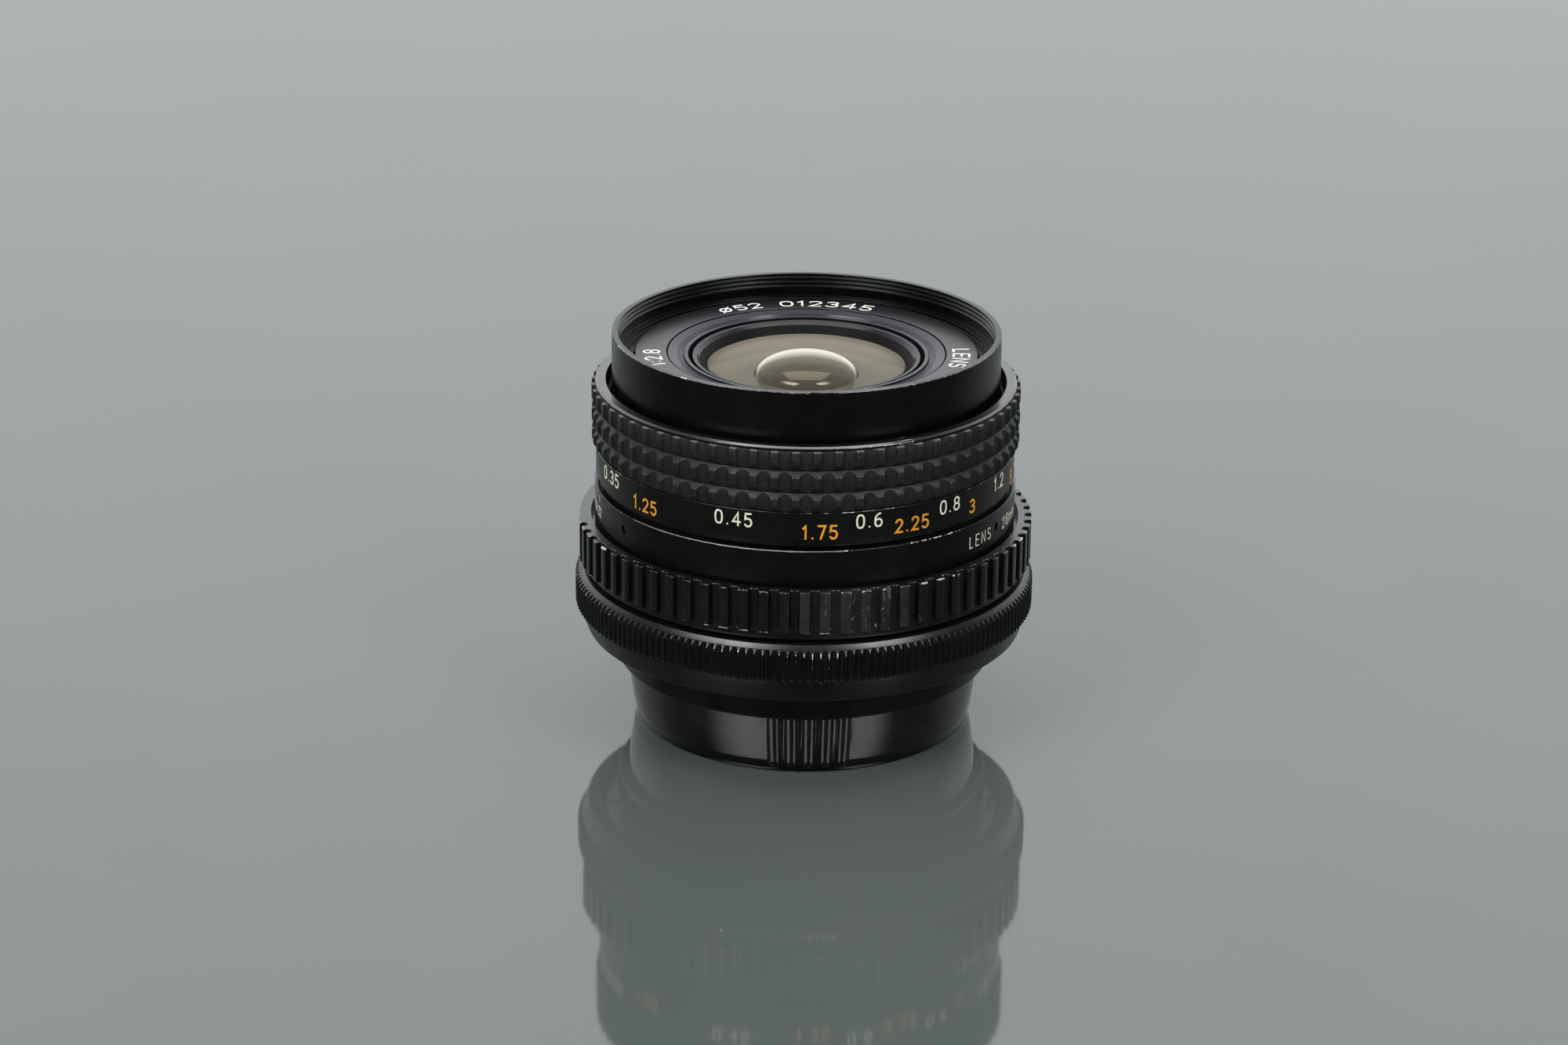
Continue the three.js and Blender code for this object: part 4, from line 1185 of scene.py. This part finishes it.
# Cell walls under the glass: object, frame node, outline, columns.
CELLS = (
    ("front_cell_body", "front_cell",
     [(12.2, 34.9, 0.05), (15.6, 34.9, 0.05), (15.6, 44.6), (18.1, 46.6), (18.1, 48.2),
      (19.6, 48.2), (19.6, 50.7, 0.05), (16.1, 50.7, 0.05), (15.9, 50.7), (15.9, 45.4),
      (13.9, 45.4), (13.9, 42.5), (12.2, 42.5)], 112),
    ("front_spacer_body", "front_spacer",
     [(12.9, 45.5), (15.6, 45.5), (15.6, 48.2), (9.4, 48.2, 0.1),
      *grooved(9.4, 46.2, 47.9, depth=0.25, pitch=0.42), (12.9, 46.1)], 112),
    ("second_spacer_body", "second_spacer",
     [(10.9, 41.2), (12.1, 41.2), (12.1, 42.5), (13.7, 42.5), (13.7, 43.0), (10.9, 43.0),
      *grooved(10.9, 41.3, 42.9, depth=0.22, pitch=0.5)], 112),
    ("third_retainer_body", "third_retainer",
     [(10.4, 35.2, 0.05), (12.1, 35.2, 0.05), (12.1, 37.2, 0.05), (10.4, 37.2, 0.05)], 96),
)
for name, node, outline, count in CELLS:
    stand_for(turned(name, outline, MAT["flat"], "optical_block", count), node)

# ---------------------------------------------------------------------- aperture ring
PADS = 72
PAD_R, PAD_FLOOR_R = 31.93, 31.0
NUMBER_R = 31.62                 # plain band that carries the numbers
NUMBER_SECTOR = (-178.0, -80.0)  # its azimuths
PAD_HALF = rad(1.20)
GROOVE_HALF = math.pi / PADS - PAD_HALF
# gain, azimuth, half width
PAD_PATCHES = ((0.75, 12, 12), (0.25, -22, 26), (1.6, -60.2, 1.5), (0.30, 48, 30))


def pad_radius(theta):
    """Outer radius of the grip zone: pads, U-shaped grooves and the plain number band."""
    if NUMBER_SECTOR[0] < from_front(theta) < NUMBER_SECTOR[1]:
        return NUMBER_R
    offset = abs(wrap((theta - azimuth(0)) * PADS) / PADS)     # from the middle of a pad
    if offset <= PAD_HALF - 0.0035:
        return PAD_R
    if offset <= PAD_HALF:
        return PAD_R - 0.05
    across = (offset - PAD_HALF) / GROOVE_HALF   # 0 at the pad's side, 1 in the groove's middle
    if across > 0.02:
        return PAD_FLOOR_R + 0.50 * max(0.0, 1 - across) ** 5
    return PAD_FLOOR_R + 0.60


def aperture_profile(theta):
    outer = pad_radius(theta)
    wear = handled(theta, 0.80, PAD_PATCHES)
    if outer < PAD_R - 0.06:
        wear *= 0.62
    bottom, top, edge, floor = 24.0, 29.93, 0.10, PAD_FLOOR_R
    return [(29.1, 22.75, 0), (30.7, 22.75, 0), (30.92, 22.83, 0.15), (floor, 22.98, 0.3),
            (floor, 23.2, 0), (floor, bottom - 0.04, 0),
            (max(floor, outer - 0.08), bottom, 0.4 * wear), (outer, bottom + 0.09, 0.8 * wear),
            (outer, bottom + 0.3, 0.12 * wear), (outer, 27.0, 0.06 * wear),
            (outer, 29.5, 0.16 * wear), (outer, top - edge, 0.85 * wear),
            (outer - edge, top, 0.85 * wear), (outer - 0.42, top, 0.0), (30.25, top, 0),
            (30.05, top, 0.15), (29.99, 29.86, 0.15), (29.99, 28.6, 0), (29.1, 28.6, 0)]


pad_angles = []
for k in range(PADS):
    middle = azimuth(0) + k * TAU / PADS
    for offset in (0.0, PAD_HALF - 0.0037, PAD_HALF - 0.0002, PAD_HALF + 0.0005):
        pad_angles += [middle + offset, middle - offset]
    for t in (0.10, 0.22, 0.42, 0.7, 1.0):
        pad_angles += [middle + PAD_HALF + GROOVE_HALF * t, middle - PAD_HALF - GROOVE_HALF * t]
for side in NUMBER_SECTOR:
    pad_angles += [azimuth(side) - 0.0004, azimuth(side) + 0.0004]
pad_angles = sorted({round(a % TAU, 6) for a in pad_angles})
stand_for(sweep_sections("aperture_ring_body", [(a, aperture_profile(a)) for a in pad_angles],
                         MAT["ring"], "aperture_control", sharp=30),
          "aperture_ring")

# ------------------------------------------------------------------------ breech ring
TEETH = 180
TOOTH_DEPTH = 0.55
BREECH_R = 32.32
BREECH_TOP = 21.5
BREECH_CHAMFER = 0.45
BREECH_PATCHES = ((0.35, 16, 40), (0.25, -42, 22))      # gain, azimuth, half width
# share of a half tooth from the ridge, depth as a share of the full groove
TOOTH = ((-0.09, 0.02), (0.0, 0.0), (0.09, 0.02), (0.17, 0.32), (0.34, 0.60), (0.62, 0.84),
         (0.99, 1.0), (1.38, 0.84), (1.66, 0.60), (1.83, 0.32))


def breech_profile(depth, theta):
    outer = BREECH_R - TOOTH_DEPTH * depth
    rim = BREECH_R - BREECH_CHAMFER
    edge = BREECH_TOP - max(0.0, outer - rim)
    rim = min(outer, rim)
    wear = handled(theta, 0.90, BREECH_PATCHES) * (1.0 - depth) ** 2
    return [(28.6, 15.1, 0), (28.9, 13.9, 0), (29.1, 13.67, 0), (30.55, 13.67, 0),
            (30.66, 13.70, 0.2), (30.76, 13.80, 0.2), (30.9, 14.1, 0.0), (31.62, 16.45, 0.0),
            (31.74, 16.80, 0.0), (31.75, 16.98, 0.05 * wear),
            (max(31.755, outer - 0.06), 17.00, 0.55 * wear), (outer, 17.10, 0.60 * wear),
            (outer, 17.42, 0.42 * wear), (outer, 18.6, 0.36 * wear), (outer, 20.3, 0.38 * wear),
            (outer, edge - 0.07, 0.85 * wear), (max(rim, outer - 0.05), edge + 0.03, 0.9 * wear),
            (rim, BREECH_TOP, 0.1 * wear), (31.72, 21.53, 0), (31.5, 21.9, 0.0),
            (31.3, 22.16, 0.12), (31.2, 22.2, 0.12), (31.0, 22.2, 0), (28.6, 22.2, 0)]


breech_sections = []
for k in range(TEETH):
    ridge = azimuth(0) + k * TAU / TEETH
    breech_sections += [(ridge + share * (TAU / TEETH / 2), breech_profile(depth, ridge))
                        for share, depth in TOOTH]
stand_for(sweep_sections("breech_ring_body", breech_sections, MAT["knurl"], "breech_lock",
                         sharp=30), "breech_ring")

# -------------------------------------------------------------------------- lettering
INDEX = -95.0                    # azimuth of the index line
STOP_STEP = 8                    # degrees between aperture stops
METRES_Z = 38.9
METRES = [("0.3", -95), ("0.35", -65.8), ("0.45", -19.3), ("0.6", 16.9), ("0.8", 41.7),
          ("1.2", 64.8), ("2", 83.3), ("~", 110)]
FEET = [("1", -89.5), ("1.25", -48.1), ("1.75", 3.8), ("2.25", 29.3), ("3", 50.6), ("5", 76.2),
        ("7", 88.5), ("15", 100.0), ("~", 117)]
DEPTHS = (("4", 4.2), ("8", 7.9), ("11", 11.4), ("16", 15.6), ("22", 20.2))  # degrees from INDEX
depth_marks = [(text, INDEX + side * offset) for side in (-1, 1) for text, offset in DEPTHS]
stops = [(text, INDEX - STOP_STEP * i) for text, i in (
    ("2.8", 0), ("4", 1), ("5.6", 2), ("8", 3), ("11", 4), ("16", 5), ("22", 6), ("A", 8))]

# object, texts, paint, middle height, letter height, half stroke
for name, items, color, middle, height, half in (
        ("distance_metres", METRES, "white", METRES_Z, 1.80, 0.125),
        ("distance_feet", FEET, "orange", 37.62, 1.80, 0.140),
        ("unit_metres", [("m", 124.5)], "white", METRES_Z, 1.5, 0.10),
        ("unit_feet", [("ft", 124.5)], "orange", 37.3, 1.5, 0.10)):
    scale_line(name, items, MAT[color], SKIRT_R, middle, height, "focus_group", half)

scale_line("index_text", [("LENS", 54.5), ("28mm", 73.4)], MAT["white"], INDEX_R, middle=32.4,
           height=1.60, body="barrel", half=0.072, gap=0.40)
scale_line("depth_numbers", depth_marks, MAT["white"], INDEX_R, middle=32.2, height=1.25,
           body="barrel", half=0.075, gap=0.20)
ticks("depth_ticks", [a for _, a in depth_marks], MAT["white"], INDEX_R, bottom=33.75,
      top=34.55, body="barrel", half=0.07)
ticks("index_line", [INDEX], MAT["orange"], INDEX_R, bottom=30.6, top=34.5, body="barrel",
      half=0.12)
scale_line("aperture_numbers", stops, MAT["white"], NUMBER_R, middle=27.4, height=1.75,
           body="aperture_control", half=0.10, gap=0.22, widen=0.95)
ticks("aperture_ticks", [a for _, a in stops], MAT["white"], NUMBER_R, bottom=29.0, top=29.5,
      body="aperture_control", half=0.08)

# object, text, azimuth, widening, gap
for name, text, middle, widen, gap in (
        ("name_serial", "012345", 172.0, 1.45, 0.34), ("name_filter", "#52", -153.5, 1.35, 0.30),
        ("name_speed", "1:2.8", -80.0, 1.15, 0.28), ("name_word", "LENS", 83.0, 1.30, 0.34),
        ("name_focal", "28mm", 20.0, 1.15, 0.26)):
    ring_text(name, text, middle, radius=21.5, height=2.15, face_z=NAME_Z, half=0.15,
              widen=widen, gap=gap)

# --------------------------------------------------------- frame nodes that stay shown
SHOWN = [
    ("satin", "guide_tube"),
    ("steel", "mount_plate locating_pin detent_spring detent_ball focus_stop_screw"),
    ("brass_dark", "helicoid_nut"),
    ("satin", "focus_barrel lens_carrier"),
    ("flat", "iris_housing iris_cover"),
    ("aluminium", "iris_drive_ring"),
    ("flat", "rear_cell rear_spacer"),
    ("satin", "rear_retainer"),
    ("steel", "helicoid_key stop_down_lever signal_lever"),
    ("glass_deep", "lens_4 lens_5 lens_6 lens_7"),
]
SHOWN += [("steel", f"mount_screw_{i} focus_ring_screw_{i}") for i in range(1, 4)]
SHOWN += [("blade", f"iris_blade_{i}") for i in range(1, 7)]
for key, names in SHOWN:
    for name in names.split():
        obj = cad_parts[name]
        if not obj.material_slots:
            obj.data.materials.append(MAT[key])
        for slot in obj.material_slots:
            slot.link = "OBJECT"
            slot.material = MAT[key]


# ------------------------------------------------------------------------------ floor
def floor_material():
    """Glossy floor. It would mirror the dark front of the studio when seen from behind or
    above, so a camera looking from there sees a paler paint."""
    n = Surface("pale_floor")
    color = n.tone(n.noise(14, rough=0.5), span=(0.3, 0.7),
                   low=(0.084, 0.101, 0.098), high=(0.092, 0.109, 0.106))
    normal = n.bump(n.noise(40, detail=2, rough=0.5), strength=0.02, distance=0.0002)
    _, back, above = n.geometry("Incoming")
    away = n.math("MAXIMUM", n.ramp(back, span=(0.02, 0.66)), n.ramp(above, span=(0.52, 0.92)))
    seen = n.node("ShaderNodeLightPath").outputs["Is Camera Ray"]
    color = n.mix_color(n.mul(away, seen), color, (0.275, 0.292, 0.300))
    return n.principled(color, 0.05, normal, spec=0.5, ior=1.95)


FLOOR_HALF = 4.0
FLOOR_Z = -0.00002               # just under the cap
floor_mesh = bpy.data.meshes.new("floor")
floor_mesh.from_pydata([(x * FLOOR_HALF, y * FLOOR_HALF, FLOOR_Z)
                        for x, y in ((-1, -1), (1, -1), (1, 1), (-1, 1))], [], [[0, 1, 2, 3]])
floor_mesh.materials.append(floor_material())
floor = bpy.data.objects.new("floor", floor_mesh)
bpy.context.scene.collection.objects.link(floor)

# ----------------------------------------------------------------------------- lights
AIM_Z = 0.03                     # all lights point at this height on the axis


def soft_box(name, location, width, depth, watts, color, fade=None):
    """Area light. fade gives the shares of the panel over which the light grows from the
    low and high edges of its first direction, and from both edges of its second."""
    light = bpy.data.lights.new(name, "AREA")
    light.shape, light.size, light.size_y = "RECTANGLE", width, depth
    light.energy, light.color = watts, color
    if fade:
        low, high, ends = fade
        light.use_nodes = True
        n = Nodes(light.node_tree)
        emission = next(node for node in n.tree.nodes if node.type == "EMISSION")
        panel = n.split(n.node("ShaderNodeNewGeometry").outputs["Parametric"])
        strength = n.ramp(panel[0], span=(0.0, low))
        for axis, span, to in ((0, (1.0 - high, 1.0), (1.0, 0.0)), (1, (0.0, ends), (0.15, 1.0)),
                               (1, (1.0 - ends, 1.0), (1.0, 0.15))):
            strength = n.mul(strength, n.ramp(panel[axis], span, to))
        n.put(emission.inputs["Strength"], strength)
    obj = bpy.data.objects.new(name, light)
    obj.location = location
    obj.rotation_mode = "QUATERNION"
    aim = Vector((0, 0, AIM_Z)) - Vector(location)
    obj.rotation_quaternion = aim.to_track_quat("-Z", "Y")
    bpy.context.scene.collection.objects.link(obj)


def around(degrees, elevation, distance):
    a, e = azimuth(degrees), rad(elevation)
    return (distance * math.cos(e) * math.cos(a), distance * math.cos(e) * math.sin(a),
            AIM_Z + distance * math.sin(e))


soft_box("soft_top", (0.0, 0.10, 0.90), width=0.80, depth=0.60, watts=4.4,
         color=(1.0, 0.995, 0.98))
soft_box("soft_left", around(-47, elevation=42, distance=0.95), width=0.76, depth=0.44,
         watts=12.0, color=(1.0, 0.99, 0.97), fade=(0.62, 0.22, 0.22))
soft_box("soft_right", around(49, elevation=42, distance=0.95), width=0.54, depth=0.44,
         watts=8.5, color=(1.0, 0.99, 0.97), fade=(0.22, 0.62, 0.22))


# ------------------------------------------------------------------------------ world
def build_world():
    world = bpy.data.worlds.new("studio")
    world.use_nodes = True
    n = Nodes(world.node_tree)
    n.tree.nodes.clear()
    out = n.node("ShaderNodeOutputWorld")
    background = n.node("ShaderNodeBackground")
    _, y, z = n.split(n.node("ShaderNodeTexCoord").outputs["Generated"])
    back = n.ramp(y, span=(0.0, 0.60), to=(0.10, 1.15))      # pale backdrop behind the lens
    high = n.ramp(z, span=(0.35, 0.95), to=(1.0, 0.45))
    low = n.ramp(z, span=(0.08, 0.27), to=(0.85, 0.0))       # pale walls at floor level
    shaped = n.math("MAXIMUM", n.mul(back, high), low)
    seen = n.node("ShaderNodeLightPath").outputs["Is Camera Ray"]
    # looked at directly, the studio is evenly pale
    n.fill(background, {"Color": (0.955, 0.98, 1.0, 1),
                        "Strength": n.mix_value(seen, shaped, 0.80)})
    n.put(out.inputs[0], background.outputs[0])
    bpy.context.scene.world = world


build_world()

# ----------------------------------------------------------------------------- camera
CAMERA_PITCH = 0.36422607        # radians below the horizontal
CAMERA_ROLL = 0.01010666
camera_data = bpy.data.cameras.new("camera")
camera_data.lens, camera_data.sensor_width = 55.0, 22.3
camera_data.sensor_fit = "HORIZONTAL"
camera_data.clip_start, camera_data.clip_end = 0.01, 20
camera = bpy.data.objects.new("camera", camera_data)
bpy.context.scene.collection.objects.link(camera)
camera.location = (-0.0028826, -0.5098171, 0.2222087)
camera.rotation_mode = "QUATERNION"
camera.rotation_quaternion = (Matrix.Rotation(math.pi / 2 - CAMERA_PITCH, 3, "X")
                              @ Matrix.Rotation(CAMERA_ROLL, 3, "Z")).to_quaternion()
bpy.context.scene.camera = camera
bpy.context.scene.view_settings.view_transform = "Standard"
